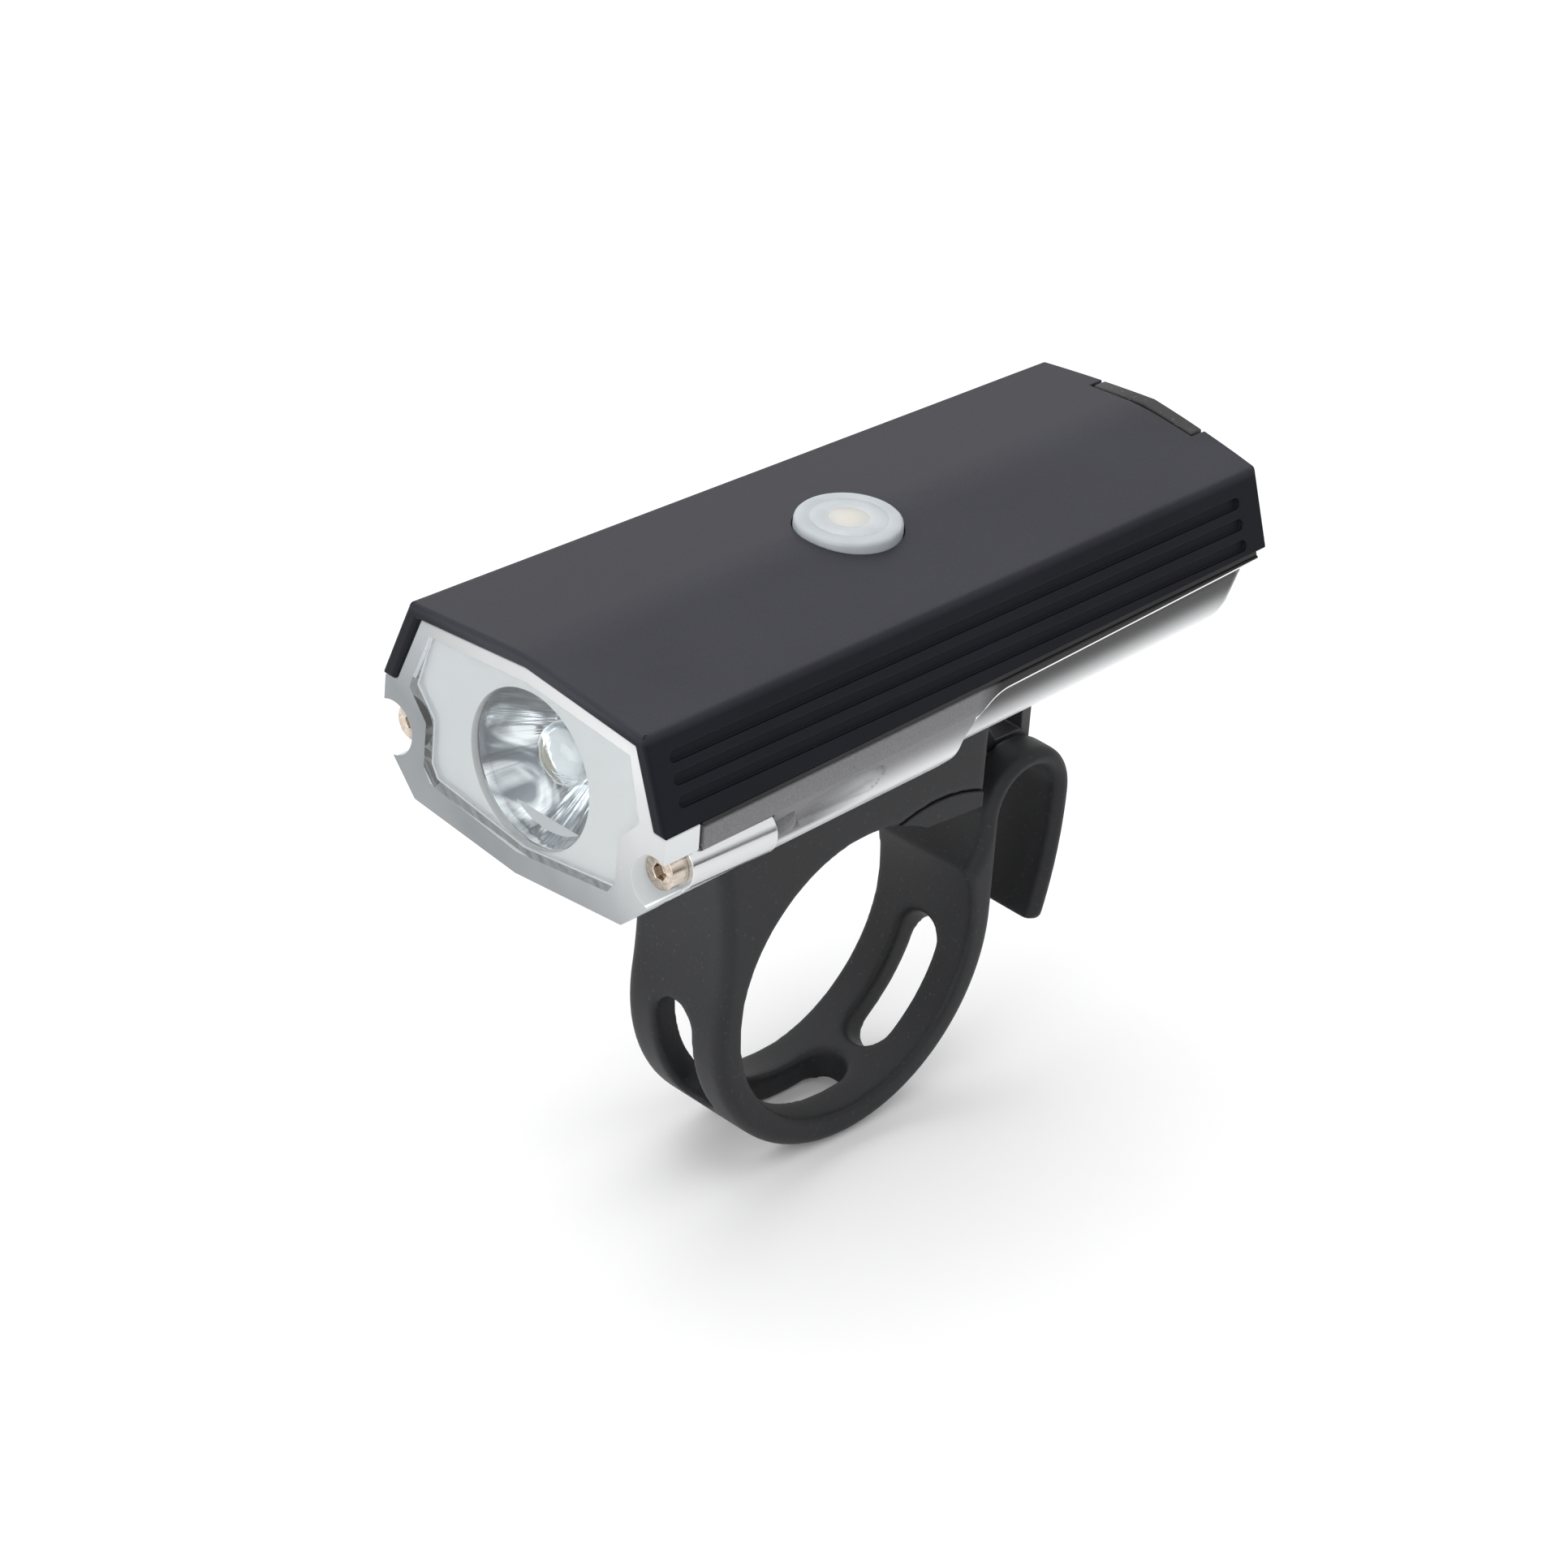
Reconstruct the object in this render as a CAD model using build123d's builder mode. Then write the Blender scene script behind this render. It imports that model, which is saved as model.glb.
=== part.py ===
from build123d import *
import os
from math import asin, cos, degrees, radians, sin, sqrt, tan

# Bicycle headlight with a rubber strap bracket, in millimetres.
# Origin: centre of the handlebar that the bracket clamps. X lies along the bar,
# the lens looks along -Y and Z points up.

# Handlebar, bracket and strap
bar_dia = 31.8
bracket_width = 13.5
saddle_height = 8.1
pad_thick = 1.7
strap_thick = 3.2
strap_slot_width = 5.0
strap_slot_length = 15.0
strap_slot_angles = [200.0, 262.0, 324.0]
strap_bevel = 0.8
pad_round = 0.3
front_angle = 174.0
front_lean = 3.5
root_angle = 20.0
loop_radius = 6.1
loop_thick = 2.1
loop_height = 10.7
tail_length = 15.2
tail_bend = 2.4
seam_angle = 75.0
seam_arch = 1.1
seam_drop = 0.9
pad_angle = 60.0
hook_width = 4.4
hook_thick = 1.5
hook_reach = 27.0
hook_drop = 3.4
hook_tip = 6.0
hook_bend_shares = [0.33, 0.43, 0.53, 0.63]
plate_width = 9.0
plate_front = 9.0
plate_back = 12.0

# Light body, measured from the bar axis along Y and from the underside along Z
head_front = 41.0
head_back = 42.2
back_bow = 1.3
roof_half_front = 15.8
roof_half_back = 14.3
roof_height = 21.8
cover_height = 9.1
ridge_height = 1.5
tail_rise = 1.5
side_lean = 21.0
cover_wall = 1.55
fit_gap = 0.15
overrun = 5.0

# Top cover details
groove_width = 1.15
groove_depth = 0.45
groove_margin = 2.6
groove_shares = [0.28, 0.5, 0.72]
edge_round = 0.5
ridge_round = 30.0
button_y = 0.4
button_dia = 10.6
button_gap = 0.15
button_proud = 0.9
notch_half = 6.9
notch_depth = 2.1
back_wall = 1.6

# Lower housing
shell_wall = 1.5
boot_step = 1.2
boot_end = 0.5
boot_sweep = 5.0
belly_flat_inset = 5.1
belly_side_inset = 1.9
belly_rise_shares = [0.102, 0.354, 0.772]
belly_corner_round = 3.5
belly_side_round = 5.0
shoulder_drop = 0.7
tongue_height = 2.3
tongue_wall = 1.3
housing_front = 35.6
housing_tail_inset = 0.8
tail_round = 2.0
foot_width = 9.0
foot_height = 3.8
foot_front = 7.0
foot_back = 6.0

# Clear front cover and its screws
lens_face = 40.7
lens_wall = 1.8
lens_back = 36.2
lens_lean = 0.4
rim_top = 2.8
rim_side = 3.6
rim_bottom = 2.3
boss_dia = 4.9
boss_back = 26.4
post_wall = 1.1
tip_dia = 3.0
screw_dia = 2.0
screw_length = 14.0
screw_head_dia = 3.7
screw_head_height = 2.0
screw_hex = 1.5
screw_inset = 2.3
screw_rise_share = 0.606
screw_seat = 37.1
channel_dia = 5.5
channel_shift = 0.8
flute_back = 12.4
flute_dia = 3.6
flute_depth = 1.7

# Optics
aperture_margin = 0.35
bezel_thick = 0.8
optic_lap = 0.2
optic_flange = 1.2
optic_depth = 8.2
optic_tail_dia = 7.4
optic_pocket_dia = 5.0
optic_pocket = 2.8
optic_facets = 24
emitter_size = 3.4
emitter_thick = 0.9
dome_dia = 2.6
emitter_lens = 1.1
led_board_thick = 1.5
led_margin = 1.0
sink_inset = 0.8
sink_thick = 2.6
sink_flange = 11.0
holder_wall = 1.2
small_screw_dia = 2.0
small_screw_length = 4.0
small_head_dia = 3.4
small_head_height = 1.1

# Electronics
battery_length = 50.0
battery_width = 20.0
battery_start = 16.5
battery_clear = 1.8
battery_round = 2.0
foam_thick = 0.8
board_thick = 1.0
board_drop = 6.2
board_width = 25.0
board_front = 9.5
board_back = 38.6
ledge_size = 2.2
switch_size = 6.0
switch_height = 2.5
plunger_dia = 3.2
plunger_height = 0.7
button_travel = 0.4
button_flange = 1.0
button_flange_thick = 0.8
retainer_wall = 1.6
socket_width = 8.9
socket_height = 3.2
socket_depth = 7.3
socket_wall = 0.35
port_inset = 0.2
lead_dia = 1.0
lead_round = 2.0
lead_run = 3.0
board_screw_dia = 1.6
board_screw_length = 3.0
board_head_height = 0.9
status_led = 1.6
chip_size = 4.0
chip_height = 0.9
coil_size = 5.0
coil_height = 2.0

# Port cover
door_thick = 1.5
door_gap = 0.3
door_bottom_drop = 1.4
plug_depth = 0.9
plug_gap = 0.45
anchor_height = 2.2
hinge_dia = 1.5

# Seals and bracket fastener
seal_width = 0.9
bracket_screw_dia = 4.0
bracket_screw_length = 5.0
bracket_head_dia = 7.2
bracket_head_height = 2.0
insert_dia = 5.6
insert_length = 4.0

# Places worked out from the sizes above
bar_r = bar_dia / 2
strap_r = bar_r + strap_thick
half_width = bracket_width / 2
base_z = bar_r + saddle_height
lip_height = roof_height - cover_height
belly_flat_rise, belly_side_rise, belly_wide_rise = [lip_height * share for share in belly_rise_shares]
lean = tan(radians(side_lean))
body_length = head_front + head_back
face_y = -lens_face
pocket_y = face_y + lens_wall
screw_x = roof_half_front + cover_height * lean - screw_inset
screw_z = base_z + lip_height * screw_rise_share
aperture_dia = roof_height - rim_top - rim_bottom - aperture_margin * 2
optic_z = base_z + rim_bottom + aperture_margin + aperture_dia / 2
optic_flange_dia = aperture_dia + optic_lap * 2
board_z = base_z + roof_height - board_drop
button_r = button_dia / 2
foot_low = base_z - foot_height

os.makedirs("parts", exist_ok=True)


def share_along(y):
    """How far y lies from the front station to the back station, 0 to 1."""
    return (y + head_front) / body_length


def roof_half(y):
    return roof_half_front + (roof_half_back - roof_half_front) * share_along(y)


def rise(y):
    """How far the underside and the lip have climbed towards the tail."""
    return tail_rise * share_along(y)


def base(y):
    return base_z + rise(y)


def lip(y):
    return base_z + lip_height + rise(y)


roof_z = base_z + roof_height
ridge_z = roof_z + ridge_height
roof_slope = ridge_height / roof_half_front


def side_half(y, z):
    """Half width of the top cover's sloping side at height z."""
    return roof_half(y) + (roof_z - z) * lean


def roof_top(y, x):
    """Height of the gabled roof at a distance x from the middle."""
    return roof_z + roof_slope * (roof_half(y) - abs(x))


def mirrored(half):
    """Close a right-hand outline, listed from the middle outwards, over the middle."""
    left = [(-x, z) for x, z in reversed(half) if x != 0]
    return half + left


def inset(points, gap):
    """Move a closed outline inwards by gap, with mitred corners."""
    area = sum(a[0] * b[1] - b[0] * a[1] for a, b in zip(points, points[1:] + points[:1]))
    turn = 1 if area > 0 else -1
    moved = []
    for i, (x, z) in enumerate(points):
        before = points[i - 1]
        after = points[(i + 1) % len(points)]
        d1 = (Vector(x, z) - Vector(*before)).normalized()
        d2 = (Vector(*after) - Vector(x, z)).normalized()
        n1 = Vector(-d1.Y, d1.X) * turn
        n2 = Vector(-d2.Y, d2.X) * turn
        step = (n1 + n2) * (gap / (1 + n1.dot(n2)))
        moved.append((x + step.X, z + step.Y))
    return moved


def roof_outline(y, drop=0):
    """Outside of the top cover, down to the lip or to drop below it."""
    low = lip(y) - drop
    return mirrored([(0, roof_top(y, 0)), (roof_half(y), roof_z), (side_half(y, low), low)])


def inner_roof_outline(y, gap):
    """Inside of the top cover, gap in from the outside and open below the lip."""
    return inset(roof_outline(y, overrun), gap)


def side_band(y, low, high, gap):
    """A band between the sloping sides, from low to high about the lip."""
    bottom = lip(y) + low
    top = lip(y) + high
    corner = [(side_half(y, z) - gap, z) for z in (bottom, top)]
    return [corner[0], corner[1], (-corner[1][0], top), (-corner[0][0], bottom)]


def belly_outline(y, top_drop=shoulder_drop):
    """Outside of the lower half, from the middle of the belly up to its shoulder."""
    wide = side_half(y, lip(y))
    top = lip(y) - top_drop
    low = base(y)
    return mirrored([
        (0, low),
        (wide - belly_flat_inset, low + belly_flat_rise),
        (wide - belly_side_inset, low + belly_side_rise),
        (wide - fit_gap, low + belly_wide_rise),
        (wide - fit_gap, top),
    ])


def rim_outline(y):
    """Inside of the clear cover, with room left for the screw bosses."""
    wide = side_half(y, lip(y))
    room = screw_x - boss_dia / 2 - boss_dia * 0.28 - (roof_half_front - roof_half(y))
    return mirrored([
        (0, ridge_z - rim_top - fit_gap * 2),
        (roof_half(y) - rim_top * 0.68, roof_z - rim_top),
        (wide - rim_side, lip(y)),
        (room, lip(y) - rim_top),
        (room, base(y) + rim_bottom * 2.3),
        (room - rim_bottom * 0.4, base(y) + rim_bottom * 1.7),
        (0, base(y) + rim_bottom),
    ])


def section(y, points, rounds=None):
    """Face of a closed outline across the body at y. rounds: {corner: radius}."""
    with BuildSketch(Plane.XZ.offset(-y)) as sketch:
        with BuildLine():
            Polyline(*points, close=True)
        make_face()
        for (x, z), radius in (rounds or {}).items():
            corner = [v for v in sketch.vertices()
                      if (Vector(v.X, v.Y) - Vector(x, z)).length < fit_gap]
            fillet(corner, radius)
    return sketch.sketch.face()


def tapered(outline, y_front, y_back, mode=Mode.ADD):
    """Ruled loft of outline(y) from y_front to y_back."""
    ends = [section(y, outline(y)) for y in (y_front, y_back)]
    loft(ends, ruled=True, mode=mode)


def round_y(x, z, y_front, y_back, radius, mode=Mode.ADD):
    """A round bar along Y between two places."""
    with BuildSketch(Plane.XZ.offset(-y_front)) as disc:
        with Locations((x, z)):
            Circle(radius)
    extrude(disc.sketch, amount=-(y_back - y_front), mode=mode)


def round_z(x, y, low, high, radius, mode=Mode.ADD):
    """A round bar along Z between two heights."""
    with BuildSketch(Plane.XY.offset(low)) as disc:
        with Locations((x, y)):
            Circle(radius)
    extrude(disc.sketch, amount=high - low, mode=mode)


def block(x, y, z, mode=Mode.ADD):
    """A box between three pairs of limits."""
    middle = ((x[0] + x[1]) / 2, (y[0] + y[1]) / 2)
    with BuildSketch(Plane.XY.offset(z[0])) as base_face:
        with Locations(middle):
            Rectangle(x[1] - x[0], y[1] - y[0])
    extrude(base_face.sketch, amount=z[1] - z[0], mode=mode)


def save(part, label):
    part.label = label
    export_step(part, "parts/" + label + ".step")


# Bowed tail, a tall block with a rounded back, that trims the tail of both shells
def bow_trim(inset_back):
    half = roof_half_front * 2
    corner = head_back - inset_back
    edge = side_half(head_back, lip(head_back))
    radius = (edge ** 2 + back_bow ** 2) / (2 * back_bow)
    crown = corner + back_bow
    with BuildPart() as trim:
        with BuildSketch(Plane.XY):
            with Locations((0, crown - radius)):
                Circle(radius)
            with Locations((0, crown - radius)):
                Rectangle(half * 2, radius * 2, mode=Mode.INTERSECT)
        extrude(amount=ridge_z + overrun)
    return trim.part


# Top cover: gabled shell with grooved sides, a button hole and a notch over the port
tail_y = head_back + back_bow
with BuildPart() as top_shell:
    tapered(roof_outline, -head_front, tail_y)
    ridge = [e for e in top_shell.edges()
             if e.length > head_back and e.center().Z > roof_z + ridge_height / 2]
    fillet(ridge, ridge_round)
    roof_edges = [e for e in top_shell.edges()
                  if e.length > head_back and abs(e.center().Z - roof_z) < edge_round
                  and abs(e.center().X) > roof_half_back * 0.9]
    fillet(roof_edges, edge_round)
    add(bow_trim(0), mode=Mode.INTERSECT)
    tapered(lambda y: inner_roof_outline(y, cover_wall), -head_front - overrun,
            head_back - back_wall, mode=Mode.SUBTRACT)
    front_edges = top_shell.faces().sort_by(Axis.Y)[0].outer_wire().edges()
    chamfer(front_edges, edge_round * 0.6)

# Grooves: three round-ended slots in each sloping side
side_foot = Vector(side_half(-head_front, lip(-head_front)), -head_front, lip(-head_front))
side_top = Vector(roof_half(-head_front), -head_front, roof_z)
side_back = Vector(roof_half(head_back), head_back, roof_z)
with BuildPart() as grooves:
    for side in (1, -1):
        for share in groove_shares:
            start = side_top + (side_foot - side_top) * share
            run = (side_back - side_top).normalized()
            middle = start + run * (body_length / 2)
            along = Vector(run.X * side, run.Y, run.Z)
            fall = side_foot - side_top
            down = Vector(fall.X * side, fall.Y, fall.Z)
            place = Plane(Vector(middle.X * side, middle.Y, middle.Z), x_dir=along,
                          z_dir=along.cross(down))
            with BuildSketch(place):
                SlotOverall(body_length - groove_margin * 2, groove_width)
            extrude(amount=groove_depth, both=True)

door_pocket_y = tail_y - door_thick - door_gap
port_low = board_z + board_thick - socket_wall
port_high = port_low + socket_height + socket_wall * 2
port_half = socket_width / 2 + socket_wall
with BuildPart() as top_cover:
    add(top_shell.part)
    add(grooves.part, mode=Mode.SUBTRACT)
    round_z(0, button_y, roof_z - cover_wall, ridge_z + overrun, button_r + button_gap,
            mode=Mode.SUBTRACT)
    block((-notch_half, notch_half), (tail_y - notch_depth, tail_y + overrun),
          (roof_z - door_gap, ridge_z + overrun), mode=Mode.SUBTRACT)
    block((-notch_half, notch_half), (door_pocket_y, tail_y + overrun),
          (base_z, ridge_z), mode=Mode.SUBTRACT)
    block((-port_half, port_half), (head_back - back_wall - overrun, tail_y),
          (port_low, port_high), mode=Mode.SUBTRACT)
save(top_cover.part, "top_cover")


# Lower housing: rounded belly, stepped boot at the front, tongue inside the top cover
belly_rounds = {"flat": belly_corner_round, "side": belly_side_round}


def belly_section(y, inward=0.0):
    """Belly outline at y, moved inwards, with its four low corners rounded."""
    points = inset(belly_outline(y, -overrun), inward) if inward else belly_outline(y)
    flat, side = points[1], points[2]
    rounds = {}
    for sign in (1, -1):
        rounds[(sign * flat[0], flat[1])] = belly_rounds["flat"] - inward
        rounds[(sign * side[0], side[1])] = belly_rounds["side"] - inward
    return section(y, points, rounds)


def belly_loft(y_front, y_back, inward=0.0, mode=Mode.ADD):
    ends = [belly_section(y, inward) for y in (y_front, y_back)]
    loft(ends, ruled=True, mode=mode)


housing_tail = head_back - housing_tail_inset
inner_tail = head_back - back_wall - fit_gap

tail_stations = [(-housing_front - overrun, 0), (housing_tail - tail_round, 0),
                 (housing_tail - tail_round * 0.4, tail_round * 0.18), (housing_tail, tail_round * 0.6)]
with BuildPart() as belly_core:
    loft([belly_section(y, boot_step + extra) for y, extra in tail_stations], ruled=True)

with BuildPart() as recess:
    far = housing_tail + overrun * 2
    ledge_low = lip(boot_end) - shoulder_drop - boot_step
    ledge_back = lip(far) - shoulder_drop * 1.6
    with BuildSketch(Plane.YZ):
        with BuildLine():
            Line((boot_end, base_z - overrun), (boot_end, ledge_low - boot_sweep))
            TangentArc((boot_end, ledge_low - boot_sweep), (boot_end + boot_sweep, ledge_low),
                       tangent=(0, 1))
            Line((boot_end + boot_sweep, ledge_low), (far, ledge_back))
            Line((far, ledge_back), (far, base_z - overrun))
            Line((far, base_z - overrun), (boot_end, base_z - overrun))
        make_face()
    extrude(amount=roof_half_front * 2, both=True)
    add(belly_core.part, mode=Mode.SUBTRACT)

cavity_front = -housing_front - overrun
with BuildPart() as belly_cavity:
    belly_loft(cavity_front, inner_tail - tongue_wall, boot_step + shell_wall)
    tapered(lambda y: side_band(y, -shoulder_drop * 2, overrun * 2, -overrun), cavity_front - overrun,
            housing_tail + overrun, mode=Mode.SUBTRACT)


# Posts: they back the tubes' seats and hold the screws' threads
screw_tip = screw_length - screw_seat
with BuildPart() as posts:
    belly_loft(-housing_front, screw_tip + post_wall)
    with BuildPart(mode=Mode.INTERSECT):
        for side in (1, -1):
            round_y(side * screw_x, screw_z, -housing_front, screw_tip + post_wall,
                    boss_dia / 2 + post_wall)
    for side in (1, -1):
        round_y(side * screw_x, screw_z, -boss_back, screw_tip + post_wall, tip_dia / 2)


def insert_hexagon(mode):
    """The six-sided brass insert in the foot, or its pocket."""
    with BuildSketch(Plane.XY.offset(foot_low)) as hexagon:
        RegularPolygon(insert_dia / 2, 6)
    extrude(hexagon.sketch, amount=insert_length, mode=mode)


with BuildPart() as housing_shell:
    belly_loft(-housing_front, housing_tail)
    add(recess.part, mode=Mode.SUBTRACT)
    tapered(lambda y: side_band(y, -shoulder_drop * 2, tongue_height, cover_wall + fit_gap),
            -housing_front, inner_tail)
    tapered(lambda y: side_band(y, -shoulder_drop * 4, tongue_height + overrun,
                                cover_wall + fit_gap + tongue_wall),
            cavity_front, inner_tail - tongue_wall, mode=Mode.SUBTRACT)
    add(belly_cavity.part, mode=Mode.SUBTRACT)
    # Ledges that carry the main board
    for y in (-board_front + ledge_size, board_back - ledge_size * 2):
        for side in (1, -1):
            reach = side_half(y, lip(y) + tongue_height) - cover_wall - fit_gap - tongue_wall / 2
            near = board_width / 2 - ledge_size
            block(sorted((side * near, side * reach)), (y - ledge_size, y + ledge_size),
                  (lip(y) - shoulder_drop, board_z))
            if side * y > 0:
                round_z(side * (near + ledge_size / 2), y, board_z - board_screw_length, board_z,
                        board_screw_dia / 2, mode=Mode.SUBTRACT)
    # Seats of the clear tubes, screw holes, and the foot that keys into the saddle
    add(posts.part)
    for side in (1, -1):
        round_y(side * screw_x, screw_z, cavity_front, -boss_back + fit_gap,
                boss_dia / 2 + fit_gap, mode=Mode.SUBTRACT)
        round_y(side * screw_x, screw_z, cavity_front, screw_tip + fit_gap,
                screw_dia / 2, mode=Mode.SUBTRACT)
    block((-foot_width / 2, foot_width / 2), (-foot_front, foot_back),
          (foot_low, base_z + boot_step + shell_wall / 2))
    insert_hexagon(Mode.SUBTRACT)

# Flutes: grooves that run on behind the clear bosses, deeper towards their ball-nosed rear end
with BuildPart() as flutes:
    surface_x = side_half(0, lip(0)) - fit_gap
    axis_x = surface_x + flute_dia / 2
    for side in (1, -1):
        front_end = Vector(side * axis_x, -boss_back, screw_z)
        rear_end = Vector(side * (axis_x - flute_depth), -flute_back, screw_z)
        run = rear_end - front_end
        with BuildSketch(Plane(rear_end, z_dir=run * -1)):
            Circle(flute_dia / 2)
        extrude(amount=run.length)
        with Locations(rear_end):
            Sphere(flute_dia / 2)

# The housing, with the door's seat in its tail and the slot that holds the door's root
door_low = lip(head_back) - door_bottom_drop
hinge_z = door_low - hinge_dia / 2
hinge_y = door_pocket_y + hinge_dia / 2
with BuildPart() as lower_housing:
    add(housing_shell.part)
    add(flutes.part, mode=Mode.SUBTRACT)
    block((-notch_half, notch_half), (door_pocket_y - door_gap, housing_tail + overrun),
          (hinge_z - anchor_height - hinge_dia, ridge_z), mode=Mode.SUBTRACT)
    block((-socket_width / 2, socket_width / 2), (housing_tail - shell_wall, housing_tail),
          (hinge_z - anchor_height, hinge_z - anchor_height / 2), mode=Mode.SUBTRACT)
save(lower_housing.part, "lower_housing")


# Clear front cover: thick moulded cap with two tubular screw bosses
with BuildPart() as front_cover:
    tapered(lambda y: belly_outline(y, fit_gap), -head_front, -lens_back)
    tapered(lambda y: inner_roof_outline(y, cover_wall + fit_gap), -head_front, -lens_back)
    face_plane = Plane((0, face_y, optic_z), z_dir=(0, -roof_height, lens_lean))
    split(bisect_by=face_plane, keep=Keep.BOTTOM)
    tapered(rim_outline, pocket_y, -lens_back + overrun, mode=Mode.SUBTRACT)
    for side in (1, -1):
        round_y(side * (screw_x + channel_shift), screw_z - channel_shift / 3, -head_front - overrun,
                -lens_back, channel_dia / 2, mode=Mode.SUBTRACT)
        round_y(side * screw_x, screw_z, -screw_seat, -boss_back, boss_dia / 2)
        round_y(side * screw_x, screw_z, -head_front, -boss_back + overrun,
                screw_dia / 2 + fit_gap, mode=Mode.SUBTRACT)
save(front_cover.part, "front_cover")

# Bezel: the light grey mask behind the clear face, with the round optic window
bezel_front = pocket_y + fit_gap
with BuildPart() as bezel:
    tapered(lambda y: inset(rim_outline(y), fit_gap), bezel_front, bezel_front + bezel_thick)
    round_y(0, optic_z, bezel_front - overrun, bezel_front + bezel_thick + overrun,
            aperture_dia / 2, mode=Mode.SUBTRACT)
save(bezel.part, "bezel")

# Collimator optic: flange, faceted wall and the pocket that takes the emitter's lens
optic_front = bezel_front + bezel_thick + fit_gap


def facet_corners(y, dia):
    """Corners of the optic's many-sided wall at y."""
    turns = [radians(360 / optic_facets * i) for i in range(optic_facets)]
    return [Vector(dia / 2 * cos(t), y, optic_z + dia / 2 * sin(t)) for t in turns]


optic_back = optic_front + optic_depth
wide_end = facet_corners(optic_front + optic_flange, aperture_dia)
tail_end = facet_corners(optic_back, optic_tail_dia)
optic_walls = [Face(Wire.make_polygon([wide_end[i - 1], wide_end[i], tail_end[i], tail_end[i - 1]]))
               for i in range(optic_facets)]
optic_ends = [Face(Wire.make_polygon(corners)) for corners in (wide_end, tail_end)]
with BuildPart() as optic:
    round_y(0, optic_z, optic_front, optic_front + optic_flange, optic_flange_dia / 2)
    add(Solid(Shell(optic_walls + optic_ends)))
    round_y(0, optic_z, optic_back - optic_pocket, optic_back, optic_pocket_dia / 2, mode=Mode.SUBTRACT)
save(optic.part, "collimator_optic")

# Optic holder: white ring that centres the optic's tail on the LED board
led_face = optic_front + optic_depth + fit_gap * 2
holder_front = led_face - fit_gap * 2 - holder_wall
holder_r = optic_tail_dia / 2 + holder_wall * 1.28
with BuildPart() as optic_holder:
    round_y(0, optic_z, holder_front, led_face - fit_gap, holder_r)
    round_y(0, optic_z, holder_front, led_face - fit_gap, holder_r - holder_wall * 0.4,
            mode=Mode.SUBTRACT)
save(optic_holder.part, "optic_holder")

# LED board with its emitter
led_half = aperture_dia / 2 - led_margin
led_screw_z = led_half - small_head_dia * 0.6
with BuildPart() as led_board:
    block((-led_half, led_half), (led_face, led_face + led_board_thick),
          (optic_z - led_half, optic_z + led_half))
    for side in (1, -1):
        round_y(side * led_screw_z, optic_z + side * led_screw_z, led_face - overrun,
                led_face + overrun, small_screw_dia / 2 + fit_gap, mode=Mode.SUBTRACT)
save(led_board.part, "led_board")

with BuildPart() as led_emitter:
    block((-emitter_size / 2, emitter_size / 2), (led_face - emitter_thick, led_face),
          (optic_z - emitter_size / 2, optic_z + emitter_size / 2))
    round_y(0, optic_z, led_face - emitter_thick - emitter_lens, led_face - emitter_thick, dome_dia / 2)
save(led_emitter.part, "led_emitter")

# Heat sink: plate behind the LED board, with a flange that reaches up under the roof
sink_front = led_face + led_board_thick
sink_high = roof_z - rim_top - fit_gap * 2
lead_x = led_half * 0.7
with BuildPart() as heat_sink:
    tapered(lambda y: inset(rim_outline(y), sink_inset), sink_front, sink_front + sink_thick)
    block((-led_half * 1.3, led_half * 1.3), (sink_front, sink_front + sink_flange),
          (sink_high - sink_thick / 2, sink_high))
    for side in (1, -1):
        round_y(side * led_screw_z, optic_z + side * led_screw_z, sink_front - overrun,
                sink_front + overrun, small_screw_dia / 2, mode=Mode.SUBTRACT)
    block((lead_x - lead_dia - fit_gap, lead_x + lead_dia + fit_gap),
          (sink_front - overrun, sink_front + overrun),
          (optic_z - lead_dia / 2 - fit_gap, optic_z + lead_dia / 2 + fit_gap), mode=Mode.SUBTRACT)
save(heat_sink.part, "heat_sink")


def cap_screw(x, z, seat, length, dia, head_dia, head_height, hex_size):
    """A socket cap screw along +Y whose head sits in front of seat."""
    round_y(x, z, seat, seat + length, dia / 2)
    round_y(x, z, seat - head_height, seat, head_dia / 2)
    with BuildSketch(Plane.XZ.offset(-(seat - head_height))) as socket:
        with Locations((x, z)):
            RegularPolygon(hex_size / sqrt(3), 6)
    extrude(socket.sketch, amount=-head_height * 0.55, mode=Mode.SUBTRACT)


with BuildPart() as cover_screws:
    for side in (1, -1):
        cap_screw(side * screw_x, screw_z, -screw_seat, screw_length, screw_dia, screw_head_dia,
                  screw_head_height, screw_hex)
save(cover_screws.part, "cover_screws")

with BuildPart() as led_screws:
    for side in (1, -1):
        x, z = side * led_screw_z, optic_z + side * led_screw_z
        round_y(x, z, led_face, led_face + small_screw_length, small_screw_dia / 2)
        round_y(x, z, led_face - small_head_height, led_face, small_head_dia / 2)
save(led_screws.part, "led_screws")

# Lens seal: ring pressed between the clear cover's rear rim and the housing's front edge
seal_front = -lens_back
seal_back = -housing_front
with BuildPart() as lens_seal:
    tapered(lambda y: inset(belly_outline(y, fit_gap), seal_width / 2), seal_front, seal_back)
    tapered(lambda y: inner_roof_outline(y, cover_wall + fit_gap + seal_width / 2), seal_front, seal_back)
    tapered(rim_outline, seal_front - overrun, seal_back + overrun, mode=Mode.SUBTRACT)
    for side in (1, -1):
        round_y(side * (screw_x + channel_shift), screw_z - channel_shift / 3, seal_front - overrun,
                seal_back + overrun, channel_dia / 2, mode=Mode.SUBTRACT)
        round_y(side * screw_x, screw_z, seal_front - overrun, seal_back + overrun,
                boss_dia / 2 + fit_gap, mode=Mode.SUBTRACT)
save(lens_seal.part, "lens_seal")

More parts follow.
